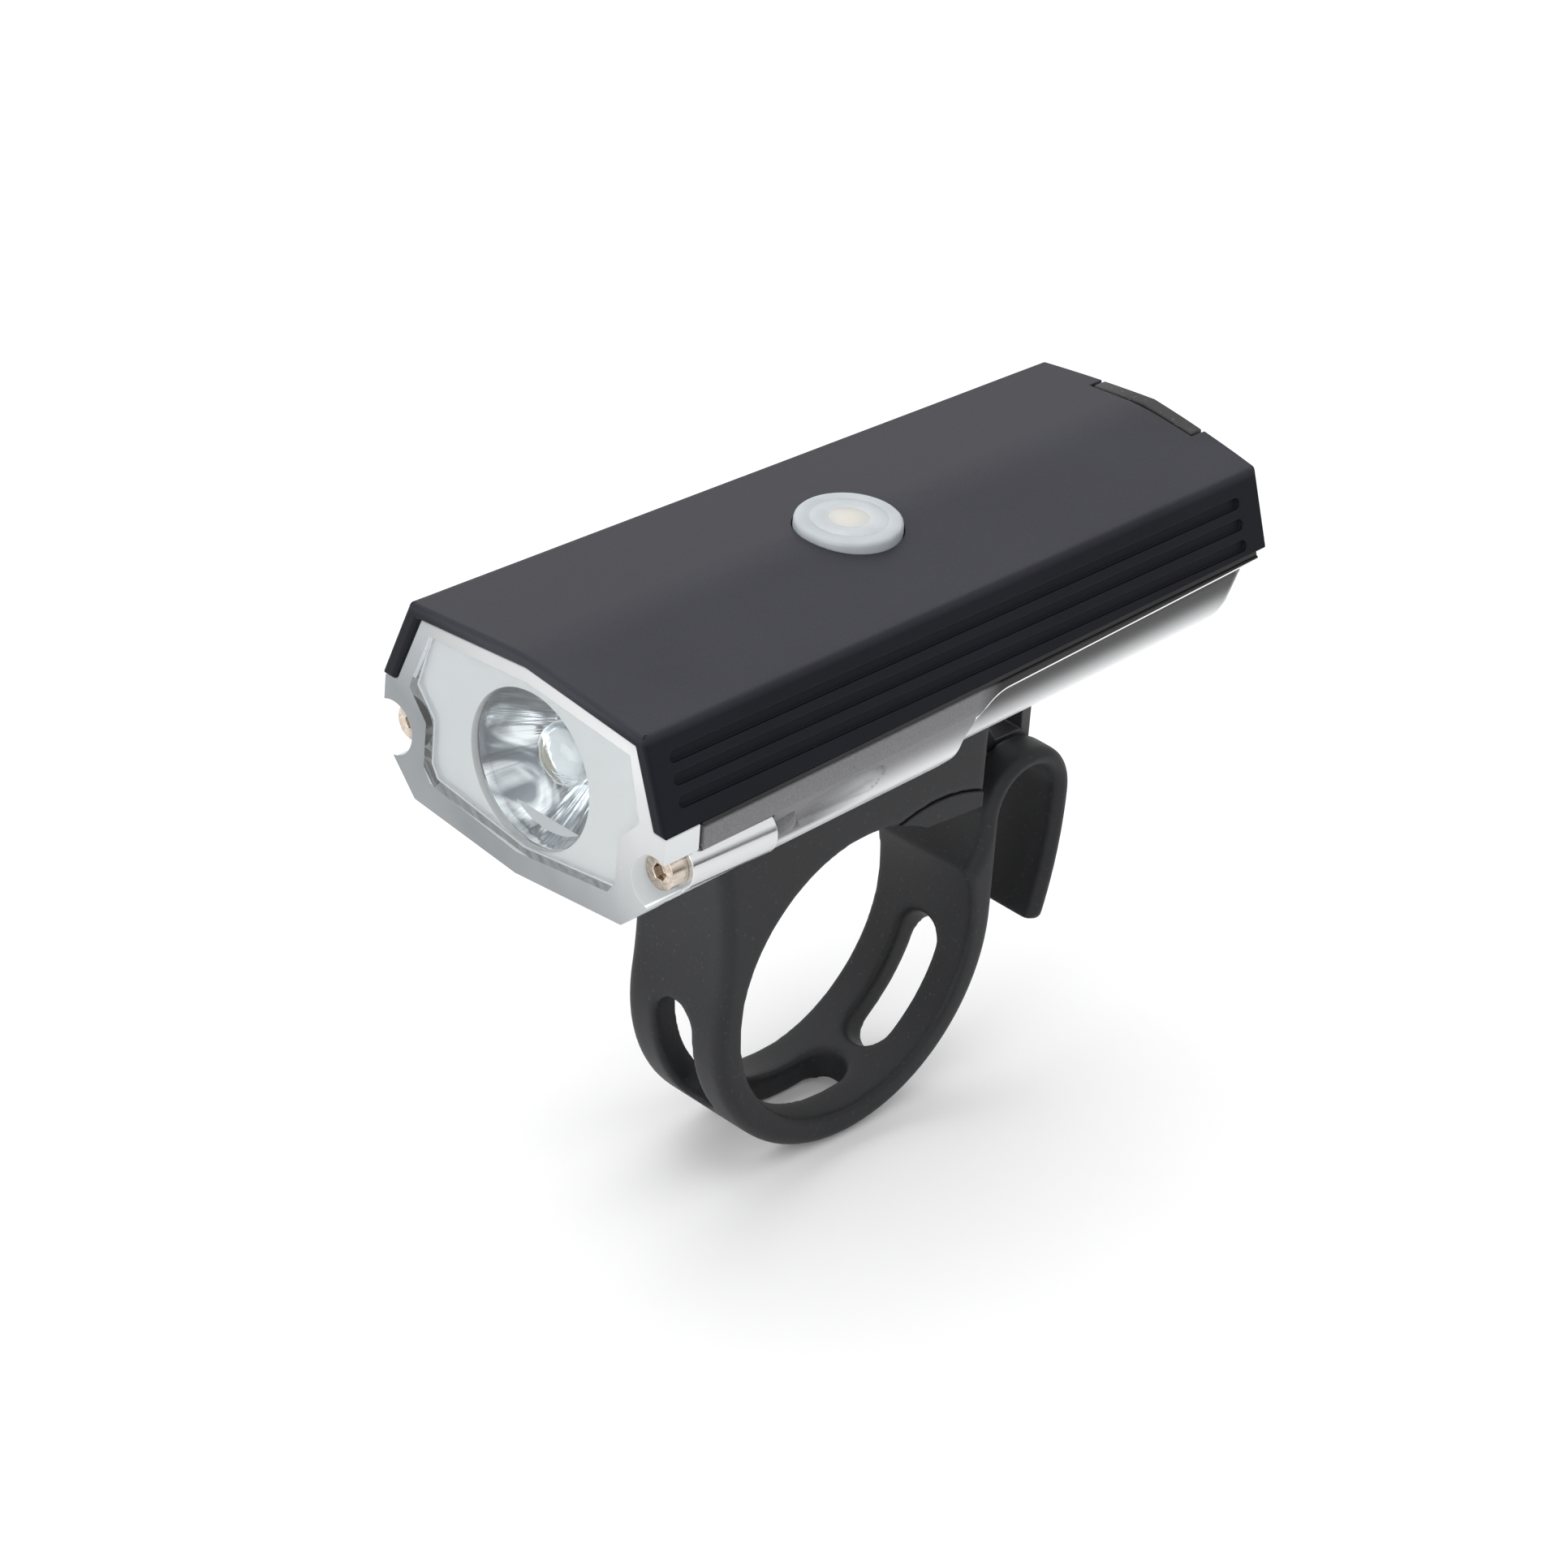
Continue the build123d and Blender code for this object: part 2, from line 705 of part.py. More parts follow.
# Housing seal: cord between the lip of the top cover and the housing's shoulder
with BuildPart() as housing_seal:
    seal_tail = inner_tail + seal_width
    outer_gap = cover_wall - seal_width
    for low, high, gap, back, mode in (
        (-shoulder_drop, 0, outer_gap, seal_tail, Mode.ADD),
        (-overrun, overrun, cover_wall - fit_gap, inner_tail + fit_gap, Mode.SUBTRACT),
    ):
        front = -housing_front if mode == Mode.ADD else -housing_front - overrun
        tapered(lambda y: side_band(y, low, high, gap), front, back, mode=mode)
save(housing_seal.part, "housing_seal")

# Battery pack on its foam
battery_front = -battery_start
battery_back = battery_front + battery_length
foam_low = base(battery_back) + boot_step + shell_wall + belly_flat_rise * 0.6 + fit_gap
battery_low = foam_low + foam_thick
battery_top = board_z - battery_clear
battery_mid = (battery_low + battery_top) / 2
battery_half = battery_width / 2
with BuildPart() as battery_foam:
    block((-battery_half * 0.7, battery_half * 0.7), (battery_front, battery_back),
          (foam_low, battery_low))
save(battery_foam.part, "battery_foam")

with BuildPart() as battery_pack:
    block((-battery_half, battery_half), (battery_front, battery_back), (battery_low, battery_top))
    fillet(battery_pack.edges().filter_by(Axis.Y), battery_round)
save(battery_pack.part, "battery_pack")

# Main board on its ledges, with the parts that stand on it
board_half = board_width / 2
board_top = board_z + board_thick
board_hole_x = board_half - ledge_size / 2
board_holes = [(-board_hole_x, -board_front + ledge_size), (board_hole_x, board_back - ledge_size * 2)]
with BuildPart() as main_board:
    block((-board_half, board_half), (-board_front, board_back), (board_z, board_top))
    for x, y in board_holes:
        round_z(x, y, board_z, board_top, board_screw_dia / 2 + fit_gap, mode=Mode.SUBTRACT)
save(main_board.part, "main_board")

with BuildPart() as board_screws:
    for x, y in board_holes:
        round_z(x, y, board_top - board_screw_length, board_top, board_screw_dia / 2)
        round_z(x, y, board_top, board_top + board_head_height, board_screw_dia * 0.85)
save(board_screws.part, "board_screws")

switch_half = switch_size / 2
switch_top = board_top + switch_height
plunger_r = plunger_dia / 2
with BuildPart() as tact_switch:
    block((-switch_half, switch_half), (button_y - switch_half, button_y + switch_half),
          (board_top, switch_top))
    round_z(0, button_y, board_top + switch_height / 3, switch_top, plunger_r + button_gap / 2,
            mode=Mode.SUBTRACT)
save(tact_switch.part, "tact_switch")

plunger_low = board_top + switch_height / 3 + button_travel + button_gap
with BuildPart() as switch_plunger:
    round_z(0, button_y, plunger_low, switch_top + plunger_height, plunger_r)
save(switch_plunger.part, "switch_plunger")

with BuildPart() as status_leds:
    for side in (1, -1):
        block(sorted((side * (switch_half + status_led / 4), side * (switch_half + status_led))),
              (button_y - status_led / 2, button_y + status_led / 2),
              (board_top, board_top + status_led / 2))
save(status_leds.part, "status_leds")

chip_y = button_y + switch_size + chip_size
with BuildPart() as driver_chips:
    for side in (1, -1):
        block((side * chip_size - chip_size / 2, side * chip_size + chip_size / 2),
              (chip_y, chip_y + chip_size), (board_top, board_top + chip_height))
save(driver_chips.part, "driver_chips")

coil_y = chip_y + chip_size * 2
with BuildPart() as inductor:
    block((-coil_size / 2, coil_size / 2), (coil_y, coil_y + coil_size),
          (board_top, board_top + coil_height))
    fillet(inductor.edges().filter_by(Axis.Z), coil_size / 8)
save(inductor.part, "inductor")

# Charging socket: a flat oval shell with its tongue
socket_mid = board_top + socket_height / 2
socket_mouth = head_back - back_wall + port_inset
with BuildPart() as usb_socket:
    with BuildSketch(Plane.XZ.offset(-socket_mouth)):
        with Locations((0, socket_mid)):
            RectangleRounded(socket_width, socket_height, socket_height * 0.45)
    extrude(amount=socket_depth)
    with BuildSketch(Plane.XZ.offset(-socket_mouth)):
        with Locations((0, socket_mid)):
            RectangleRounded(socket_width - socket_wall * 2, socket_height - socket_wall * 2,
                             (socket_height - socket_wall * 2) * 0.45)
    extrude(amount=socket_depth - socket_wall * 2, mode=Mode.SUBTRACT)
    block((-socket_width / 3, socket_width / 3),
          (socket_mouth - socket_depth, socket_mouth - socket_wall * 2),
          (socket_mid - socket_wall, socket_mid + socket_wall))
save(usb_socket.part, "usb_socket")


def lead(x, start_y, start_z, turn_y):
    """A flat twin lead: out along Y, up at turn_y, then back under the main board."""
    with BuildPart() as wire:
        with BuildSketch(Plane.YZ.offset(x - lead_dia)):
            with BuildLine():
                FilletPolyline((start_y, start_z), (turn_y, start_z), (turn_y, lead_z), (lead_end, lead_z),
                               radius=min(lead_round, (lead_z - start_z) * 0.4))
            trace(line_width=lead_dia)
        extrude(amount=lead_dia * 2)
    return wire.part


# Leads from the battery's front and from the LED board, up to the main board
lead_z = board_z - lead_dia / 2 - fit_gap / 2
lead_end = -board_front + lead_dia * 1.5
battery_leads = lead(-lead_x, battery_front, battery_mid, battery_front - lead_run)
save(battery_leads, "battery_leads")
led_leads = lead(lead_x, sink_front, optic_z, sink_front + sink_thick + lead_run)
save(led_leads, "led_leads")

# Power button: milky cap with rings, a flange under the roof and a stem to the switch
flange_r = button_r + button_flange
roof_under = ridge_z - cover_wall
flange_top = roof_under - ridge_height * (flange_r + retainer_wall) / roof_half_front - fit_gap
flange_low = flange_top - button_flange_thick
cap_top = ridge_z + button_proud
with BuildPart() as power_button:
    round_z(0, button_y, flange_low, cap_top, button_r)
    chamfer(power_button.faces().sort_by(Axis.Z)[-1].edges(), button_proud * 0.4)
    round_z(0, button_y, flange_low, flange_top, flange_r)
    round_z(0, button_y, switch_top + plunger_height + fit_gap / 3, flange_low, plunger_r)
save(power_button.part, "power_button")

lip_top = flange_low - button_travel - fit_gap
with BuildPart() as button_retainer:
    round_z(0, button_y, lip_top - button_flange_thick, roof_under + fit_gap, flange_r + retainer_wall)
    round_z(0, button_y, lip_top, roof_under + overrun, flange_r + fit_gap, mode=Mode.SUBTRACT)
    round_z(0, button_y, lip_top - overrun, roof_under, button_r - retainer_wall / 4,
            mode=Mode.SUBTRACT)
    add(top_cover.part, mode=Mode.SUBTRACT)
save(button_retainer.part, "button_retainer")

# Port cover: a rubber door in the tail with a lip over the roof, and its fixed root
door_half = notch_half - fit_gap * 2
door_inner = door_pocket_y + door_gap
with BuildPart() as port_cover:
    block((-door_half, door_half), (door_inner, tail_y + overrun), (door_low, ridge_z + overrun))
    block((-door_half, door_half), (tail_y - notch_depth + door_gap, door_inner),
          (roof_z, ridge_z + overrun))
    block((-port_half + plug_gap, port_half - plug_gap), (door_inner - plug_depth, door_inner),
          (port_low + plug_gap, port_high - plug_gap * 1.5))
    round_bar = hinge_dia / 2 - fit_gap / 3
    with BuildSketch(Plane.YZ.offset(-door_half)):
        with Locations((hinge_y + door_gap, hinge_z)):
            Circle(round_bar)
        with Locations((hinge_y + door_gap, hinge_z + hinge_dia / 2)):
            Rectangle(round_bar * 2, hinge_dia)
    extrude(amount=door_half * 2)
    add(bow_trim(0), mode=Mode.INTERSECT)
    tapered(lambda y: roof_outline(y, roof_height), head_front / 2, tail_y + overrun, mode=Mode.INTERSECT)
save(port_cover.part, "port_cover")

root_top = hinge_z - hinge_dia / 2 - fit_gap
with BuildPart() as port_cover_root:
    block((-door_half, door_half), (door_pocket_y, housing_tail), (hinge_z - anchor_height, root_top))
    block((-socket_width / 2 + fit_gap, socket_width / 2 - fit_gap),
          (housing_tail - shell_wall + fit_gap, housing_tail),
          (hinge_z - anchor_height + fit_gap, hinge_z - anchor_height / 2 - fit_gap))
save(port_cover_root.part, "port_cover_root")


def on_bar(angle, radius):
    """A point of the side view at an angle from +Y towards +Z round the bar."""
    return (radius * cos(radians(angle)), radius * sin(radians(angle)))


# Side view of the rubber strap (y, z): round the bar, up its front, and a tail that loops over
saddle_rear = bar_r
saddle_top = base_z + boot_step + shell_wall + fit_gap * 2
seam_start = on_bar(seam_angle, bar_r)
seam_end = (saddle_rear, bar_r - seam_drop)
front_start = on_bar(front_angle, strap_r)
front_top = (-strap_r - front_lean, saddle_top)
loop_y = strap_r + loop_radius - loop_thick
tail_r = (tail_length ** 2 + tail_bend ** 2) / (2 * tail_bend)
tail_turn = degrees(asin(tail_length / tail_r))
tail_mid = (loop_y + loop_radius - tail_r, loop_height)
tail_tip = [(tail_mid[0] + r * cos(radians(tail_turn)), tail_mid[1] - r * sin(radians(tail_turn)))
            for r in (tail_r, tail_r - loop_thick)]
with BuildPart() as strap_body:
    with BuildSketch(Plane.YZ.offset(-half_width)):
        with BuildLine():
            CenterArc((0, 0), bar_r, seam_angle, 360 + root_angle - seam_angle)
            TangentArc((loop_y - loop_radius, loop_height), on_bar(root_angle, bar_r), tangent=(0, -1))
            CenterArc((loop_y, loop_height), loop_radius, 0, 180)
            CenterArc(tail_mid, tail_r, -tail_turn, tail_turn)
            Line(*tail_tip)
            CenterArc(tail_mid, tail_r - loop_thick, -tail_turn, tail_turn)
            CenterArc((loop_y, loop_height), loop_radius - loop_thick, 0, 180)
            Line((strap_r, loop_height), (strap_r, 0))
            CenterArc((0, 0), strap_r, front_angle, 360 - front_angle)
            TangentArc(front_start, front_top, tangent=on_bar(front_angle - 90, 1))
            Polyline(front_top, (saddle_rear, saddle_top), seam_end)
            SagittaArc(seam_start, seam_end, seam_arch)
        make_face()
    extrude(amount=bracket_width)

# Pockets of the saddle: for the housing's key, the hook plate and the screw's head
plate_high = foot_low - fit_gap
plate_low = plate_high - hook_thick
head_low = plate_low - bracket_head_height
hook_low = plate_low - hook_drop
with BuildPart() as ladder_slots:
    for angle in strap_slot_angles:
        turned = Plane((0, 0, 0), x_dir=(1, 0, 0), z_dir=(0, cos(radians(angle)), sin(radians(angle))))
        with BuildSketch(turned.offset(bar_r - strap_thick)):
            SlotOverall(strap_slot_length, strap_slot_width, rotation=90)
        extrude(amount=strap_thick * 3)
    with BuildSketch(Plane.XY.offset(hook_low - strap_thick * 0.6)):
        with Locations((0, (saddle_rear + hook_reach) / 2)):
            SlotOverall(hook_reach - saddle_rear + strap_thick, strap_slot_width, rotation=90)
    extrude(amount=base_z)



def pocket(sizes, heights):
    """A recess of sizes (width, front, back) with the fit gap all round."""
    width, front, back = sizes
    block((-width / 2 - fit_gap, width / 2 + fit_gap), (-front - fit_gap, back + fit_gap), heights,
          mode=Mode.SUBTRACT)


def inner_or_saddle(edge):
    """True for an edge on the bar's round, or over the bar between the front and the tail."""
    middle = edge.center()
    on_bar_round = edge.geom_type == GeomType.CIRCLE and abs(edge.radius - bar_r) < fit_gap
    return on_bar_round or (-bar_r < middle.Y < strap_r - loop_thick and middle.Z > 0)


with BuildPart() as strap_mount:
    add(strap_body.part)
    # The band's outer edges are bevelled; those against the bar and round the saddle stay sharp
    outer_rims = [e for e in strap_mount.faces().filter_by(Axis.X).edges() if not inner_or_saddle(e)]
    chamfer(outer_rims, strap_bevel)
    add(ladder_slots.part, mode=Mode.SUBTRACT)
    pocket((foot_width, foot_front, foot_back), (plate_high, base_z + overrun))
    pocket((plate_width, plate_front, plate_back), (plate_low, plate_high))
    pocket((hook_width, 0, saddle_rear + overrun), (plate_low, plate_high))
    round_z(0, 0, head_low - fit_gap, plate_low, bracket_head_dia / 2 + fit_gap, mode=Mode.SUBTRACT)
    round_z(0, 0, 0, head_low, bracket_head_dia / 4, mode=Mode.SUBTRACT)
    add(lower_housing.part, mode=Mode.SUBTRACT)
save(strap_mount.part, "strap_mount")

# Wedge pad under the saddle's rear
with BuildPart() as bar_pad:
    with BuildSketch(Plane.YZ.offset(-half_width)):
        with BuildLine():
            SagittaArc(seam_start, seam_end, seam_arch)
            Polyline(seam_end, (saddle_rear, seam_end[1] - pad_thick), on_bar(pad_angle, bar_r))
            CenterArc((0, 0), bar_r, pad_angle, seam_angle - pad_angle)
        make_face()
    extrude(amount=bracket_width)
    fillet(bar_pad.faces().sort_by(Axis.Y)[-1].edges().filter_by(Axis.Z), pad_round)
save(bar_pad.part, "bar_pad")

# Hook plate: a bent strip screwed under the housing, whose tip stands up through the strap
hook_inner = hook_reach - hook_thick
hook_bends = [saddle_rear + (hook_inner - saddle_rear) * share for share in hook_bend_shares]
with BuildPart() as hook_plate:
    block((-plate_width / 2, plate_width / 2), (-plate_front, plate_back), (plate_low, plate_high))
    with BuildSketch(Plane.YZ.offset(-hook_width / 2)):
        with BuildLine():
            Polyline((0, plate_low), (hook_bends[0], plate_low), (hook_bends[2], hook_low),
                     (hook_reach, hook_low), (hook_reach, hook_low + hook_tip),
                     (hook_inner, hook_low + hook_tip), (hook_inner, hook_low + hook_thick),
                     (hook_bends[3], hook_low + hook_thick), (hook_bends[1], plate_high),
                     (0, plate_high), close=True)
        make_face()
    extrude(amount=hook_width)
    round_z(0, 0, plate_low, plate_high, bracket_screw_dia / 2 + fit_gap, mode=Mode.SUBTRACT)
save(hook_plate.part, "hook_plate")

with BuildPart() as bracket_screw:
    round_z(0, 0, plate_low, plate_low + bracket_screw_length, bracket_screw_dia / 2)
    round_z(0, 0, head_low, plate_low, bracket_head_dia / 2)
    with BuildSketch(Plane.XY.offset(head_low)):
        RegularPolygon(bracket_screw_dia * 0.36, 6)
    extrude(amount=bracket_head_height * 0.6, mode=Mode.SUBTRACT)
save(bracket_screw.part, "bracket_screw")

with BuildPart() as bracket_insert:
    insert_hexagon(Mode.ADD)
    round_z(0, 0, foot_low, foot_low + insert_length, bracket_screw_dia / 2, mode=Mode.SUBTRACT)
save(bracket_insert.part, "bracket_insert")
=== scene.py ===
import math

import bmesh
import bpy
from mathutils import Matrix, Vector


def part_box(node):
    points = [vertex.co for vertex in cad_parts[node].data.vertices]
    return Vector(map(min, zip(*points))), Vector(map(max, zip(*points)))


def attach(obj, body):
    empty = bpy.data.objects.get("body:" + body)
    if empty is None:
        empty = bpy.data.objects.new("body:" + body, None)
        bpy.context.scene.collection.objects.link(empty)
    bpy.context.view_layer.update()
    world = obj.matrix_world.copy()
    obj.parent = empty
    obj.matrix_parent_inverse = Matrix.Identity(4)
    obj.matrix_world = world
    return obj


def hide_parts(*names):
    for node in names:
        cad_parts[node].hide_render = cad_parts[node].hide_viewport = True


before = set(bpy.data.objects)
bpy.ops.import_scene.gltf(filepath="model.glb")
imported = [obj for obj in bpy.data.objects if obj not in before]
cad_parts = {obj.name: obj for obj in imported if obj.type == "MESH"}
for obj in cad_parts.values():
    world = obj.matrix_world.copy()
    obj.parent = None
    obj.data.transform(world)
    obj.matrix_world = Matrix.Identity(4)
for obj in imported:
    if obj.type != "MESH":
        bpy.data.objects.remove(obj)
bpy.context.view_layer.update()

# Lengths are in mm and are turned into metres with MM. The front is at low Y and the roof at high Z.
MM = 0.001

# Places read from the CAD
optic_low, optic_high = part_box("collimator_optic")
optic_front = optic_low[1] / MM
optic_back = optic_high[1] / MM
optic_z = (optic_low[2] + optic_high[2]) / 2 / MM

SCREW_HEAD_RADIUS = 1.85
screw_low, screw_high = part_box("cover_screws")
screw_x = screw_high[0] / MM - SCREW_HEAD_RADIUS
screw_z = (screw_low[2] + screw_high[2]) / 2 / MM

button_low, button_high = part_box("power_button")
button_y = (button_low[1] + button_high[1]) / 2 / MM
stem_end = button_low[2] / MM
cad_button_top = button_high[2] / MM


# Finishes

class Value:
    """A socket of a finish that can be added to, multiplied and compared."""

    def __init__(self, finish, socket):
        self.finish = finish
        self.socket = socket

    def _maths(self, operation, *values):
        return self.finish.node("ShaderNodeMath", {"operation": operation}, *values)

    def __add__(self, other):
        return self._maths("ADD", self, other)

    def __mul__(self, other):
        return self._maths("MULTIPLY", self, other)

    def __sub__(self, other):
        return self._maths("SUBTRACT", self, other)

    def __rsub__(self, other):
        return self._maths("SUBTRACT", other, self)

    def __gt__(self, other):
        return self._maths("GREATER_THAN", self, other)

    def __lt__(self, other):
        return self._maths("LESS_THAN", self, other)


class Finish:
    """One material with its node tree, and short ways to fill it."""

    def __init__(self, name):
        self.material = bpy.data.materials.new(name)
        self.material.use_nodes = True
        self.tree = self.material.node_tree
        self.shader = self.tree.nodes["Principled BSDF"]
        self.object_place = self.node("ShaderNodeTexCoord", {}, out="Object")

    def feed(self, socket, value):
        """Link a value of the tree to a socket, or set a plain one; a colour gets full alpha."""
        if isinstance(value, Value):
            self.tree.links.new(value.socket, socket)
        elif isinstance(value, tuple) and len(socket.default_value) == 4:
            socket.default_value = (*value, 1)
        else:
            socket.default_value = value

    def node(self, kind, settings, *values, out=0, **named):
        """Add a node: its settings first, then its sockets by order or by name."""
        node = self.tree.nodes.new(kind)
        for key, value in settings.items():
            setattr(node, key, value)
        for order, value in enumerate(values):
            self.feed(node.inputs[order], value)
        for key, value in named.items():
            self.feed(node.inputs[key.replace("_", " ")], value)
        return Value(self, node.outputs[out])

    def set(self, **values):
        """Link or set the shader's sockets."""
        for key, value in values.items():
            self.feed(self.shader.inputs[key.replace("_", " ")], value)

    def noise(self, scale, detail=2.0, rough=0.5, place=None):
        """A noise; unless another place is given, its scale is about its patches to the metre."""
        return self.node("ShaderNodeTexNoise", {}, Vector=place or self.object_place, Scale=scale,
                         Detail=detail, Roughness=rough)

    def level(self, factor, low, high, to_low=0.0, to_high=1.0):
        """Stretch the range from low to high over another one, and stop at its ends."""
        return self.node("ShaderNodeMapRange", {}, Value=factor, From_Min=low, From_Max=high,
                         To_Min=to_low, To_Max=to_high)

    def spread(self, noise, to_low=0.0, to_high=1.0):
        """Stretch the middle of a noise over a range."""
        return self.level(noise, 0.3, 0.7, to_low, to_high)

    def mix(self, factor, first, second):
        """Blend two colours, given as triples or linked.

        The node has sockets for each kind of value, and the colours are its inputs 6 and 7 and its output 2.
        """
        node = self.tree.nodes.new("ShaderNodeMix")
        node.data_type = "RGBA"
        for order, value in ((0, factor), (6, first), (7, second)):
            self.feed(node.inputs[order], value)
        return Value(self, node.outputs[2])

    def vector(self, operation, *values):
        """Vector maths, whose single numbers come from the second output."""
        gives_number = operation in ("DISTANCE", "DOT_PRODUCT")
        return self.node("ShaderNodeVectorMath", {"operation": operation}, *values, out=int(gives_number))

    def parts(self, vector):
        """The three numbers of a vector."""
        outputs = self.node("ShaderNodeSeparateXYZ", {}, vector).socket.node.outputs
        return [Value(self, output) for output in outputs]

    def bump(self, height, strength, depth):
        """A normal that follows a height, for a relief of this depth."""
        return self.node("ShaderNodeBump", {}, Strength=strength, Distance=depth * MM, Height=height)


def moulded(name, base, lighter, rough, speckle=0.0, grain_size=0.12, grain_depth=0.02, gloss=0.5):
    """Moulded plastic or rubber: fine grain, faint cloudiness and a scatter of pale specks."""
    finish = Finish(name)
    cloud = finish.noise(60.0, detail=3.0)
    grain = finish.noise(1.0 / (grain_size * MM), rough=0.6)
    colour = finish.mix(finish.level(cloud, 0.35, 0.65), base, lighter)
    if speckle:
        specks = finish.level(finish.noise(2600.0, detail=1.0), 0.66, 0.76)
        pale = tuple(min(1.0, part * 3 + 0.1) for part in lighter)
        colour = finish.mix(specks * speckle, colour, pale)
    finish.set(Base_Color=colour, Roughness=finish.spread(cloud, rough - 0.04, rough + 0.05),
               Normal=finish.bump(grain, 0.5, grain_depth), Specular_IOR_Level=gloss)
    return finish


def textured_black():
    """Black plastic of the top cover: finely textured, with painted light that makes the roof greyer and
    painted shade that makes the sides deep black.
    """
    finish = Finish("top_black")
    sides_top, roof_edge = 44.9, 45.9
    cloud = finish.noise(60.0, detail=3.0)
    grain = finish.noise(8300.0, rough=0.6)
    height = finish.parts(finish.object_place)[2]
    painted_roof_light_mask = finish.level(height, sides_top * MM, roof_edge * MM)
    mottled = finish.level(cloud, 0.35, 0.65) * 0.5 + finish.level(grain, 0.35, 0.65) * 0.5
    # Lit and shaded copies of one black: painted light on the roof, painted shade on the sides
    sides = finish.mix(mottled, (0.0035, 0.0038, 0.006), (0.006, 0.0065, 0.0095))
    top = finish.mix(mottled, (0.021, 0.0212, 0.027), (0.035, 0.0355, 0.043))
    finish.set(Base_Color=finish.mix(painted_roof_light_mask, sides, top), Roughness=finish.spread(cloud, 0.44, 0.52),
               Normal=finish.bump(grain, 0.5, 0.02), Specular_IOR_Level=0.17,
               Specular_Tint=(0.83, 0.84, 1.0))
    return finish


def graded_satin():
    """Satin housing plastic, with painted shade under the lip and in the flutes, a painted sheen on the
    shoulder and a painted silvery reflection on the belly.
    """
    finish = Finish("housing_grey")
    x, y, z = finish.parts(finish.object_place)

    # The belly's base line climbs a little towards the tail, and the painted silver reflection fades out
    # above it
    base_z, base_rise = 24.7, 0.018
    fade_start, fade_end = 9.6, 3.2
    above_base = z - base_z * MM - y * base_rise
    silvery = finish.node("ShaderNodeMapRange", {"interpolation_type": "SMOOTHERSTEP"}, Value=above_base,
                          From_Min=fade_start * MM, From_Max=fade_end * MM, To_Min=0.0, To_Max=1.0)

    # Painted shade in the flutes, which takes the painted reflection out of them
    flute_edge, flute_heart = 2.5, 1.9
    flute_back, flute_front = -12.5, -20.0
    beside = finish.node("ShaderNodeMath", {"operation": "ABSOLUTE"}, x)
    across = finish.node("ShaderNodeCombineXYZ", {}, beside, 0.0, z)
    from_screw = finish.vector("DISTANCE", across, (screw_x * MM, 0, screw_z * MM))
    painted_flute_shade = (finish.level(from_screw, flute_edge * MM, flute_heart * MM)
                * finish.level(y, flute_back * MM, flute_front * MM))
    silvery = silvery * (1 - painted_flute_shade * 0.97)

    # The shoulder's lighter grey at the front is a painted sheen; towards the tail it fades into the black
    # of the boot
    shoulder_back, boot_front = 1.0, 4.0
    grain = finish.noise(5200.0, rough=0.6)
    shoulder = finish.mix(finish.spread(grain), (0.13, 0.13, 0.137), (0.19, 0.189, 0.198))
    boot = (0.008, 0.008, 0.009)
    dark = finish.mix(finish.level(y, shoulder_back * MM, boot_front * MM), shoulder, boot)
    finish.set(Base_Color=finish.mix(silvery, dark, (0.86, 0.87, 0.88)), Metallic=silvery * 0.65,
               Roughness=finish.spread(grain, 0.28, 0.36), Normal=finish.bump(grain, 0.4, 0.02),
               Specular_IOR_Level=0.22)
    return finish


def clear(name, tint, shine=0.0, rough=0.01):
    """Clear polished plastic with very faint waves; shine adds the silvery look of a thick tube."""
    finish = Finish(name)
    finish.set(Base_Color=tint, Transmission_Weight=1.0 - shine * 0.7, IOR=1.49, Metallic=shine,
               Roughness=finish.spread(finish.noise(90.0), rough * 0.5, rough * 1.5),
               Normal=finish.bump(finish.noise(70.0, detail=1.0), 0.05, 0.02))
    return finish


def frosted(name, low, high, bottom, top, painted_glow):
    """Moulded wall of the clear cap: milky, with painted light that makes it lighter upwards and to the
    right, and faint painted emission of light.
    """
    finish = Finish(name)
    across, _, height = finish.parts(finish.object_place)
    cloud = finish.noise(120.0)
    # Painted light: lighter upwards and to the right
    painted_light_grade = finish.level(height + across * 0.45, bottom * MM, top * MM) * 0.8 + cloud * 0.3
    colour = finish.mix(painted_light_grade, low, high)
    finish.set(Base_Color=colour, Roughness=finish.spread(cloud, 0.16, 0.28), Emission_Color=colour,
               Emission_Strength=painted_glow, Normal=finish.bump(cloud, 0.1, 0.03))
    return finish


def plated(name, tint, deep, rough):
    """Metal with fine turning marks and darker hollows."""
    finish = Finish(name)
    drawn_out = finish.node("ShaderNodeMapping", {}, Vector=finish.object_place, Scale=(1, 0.15, 1))
    streak = finish.noise(2500.0, detail=3.0, place=drawn_out)
    finish.set(Base_Color=finish.mix(finish.spread(streak), deep, tint), Metallic=1.0,
               Roughness=finish.spread(finish.noise(900.0), rough * 0.7, rough * 1.5),
               Normal=finish.bump(streak, 0.1, 0.01))
    return finish


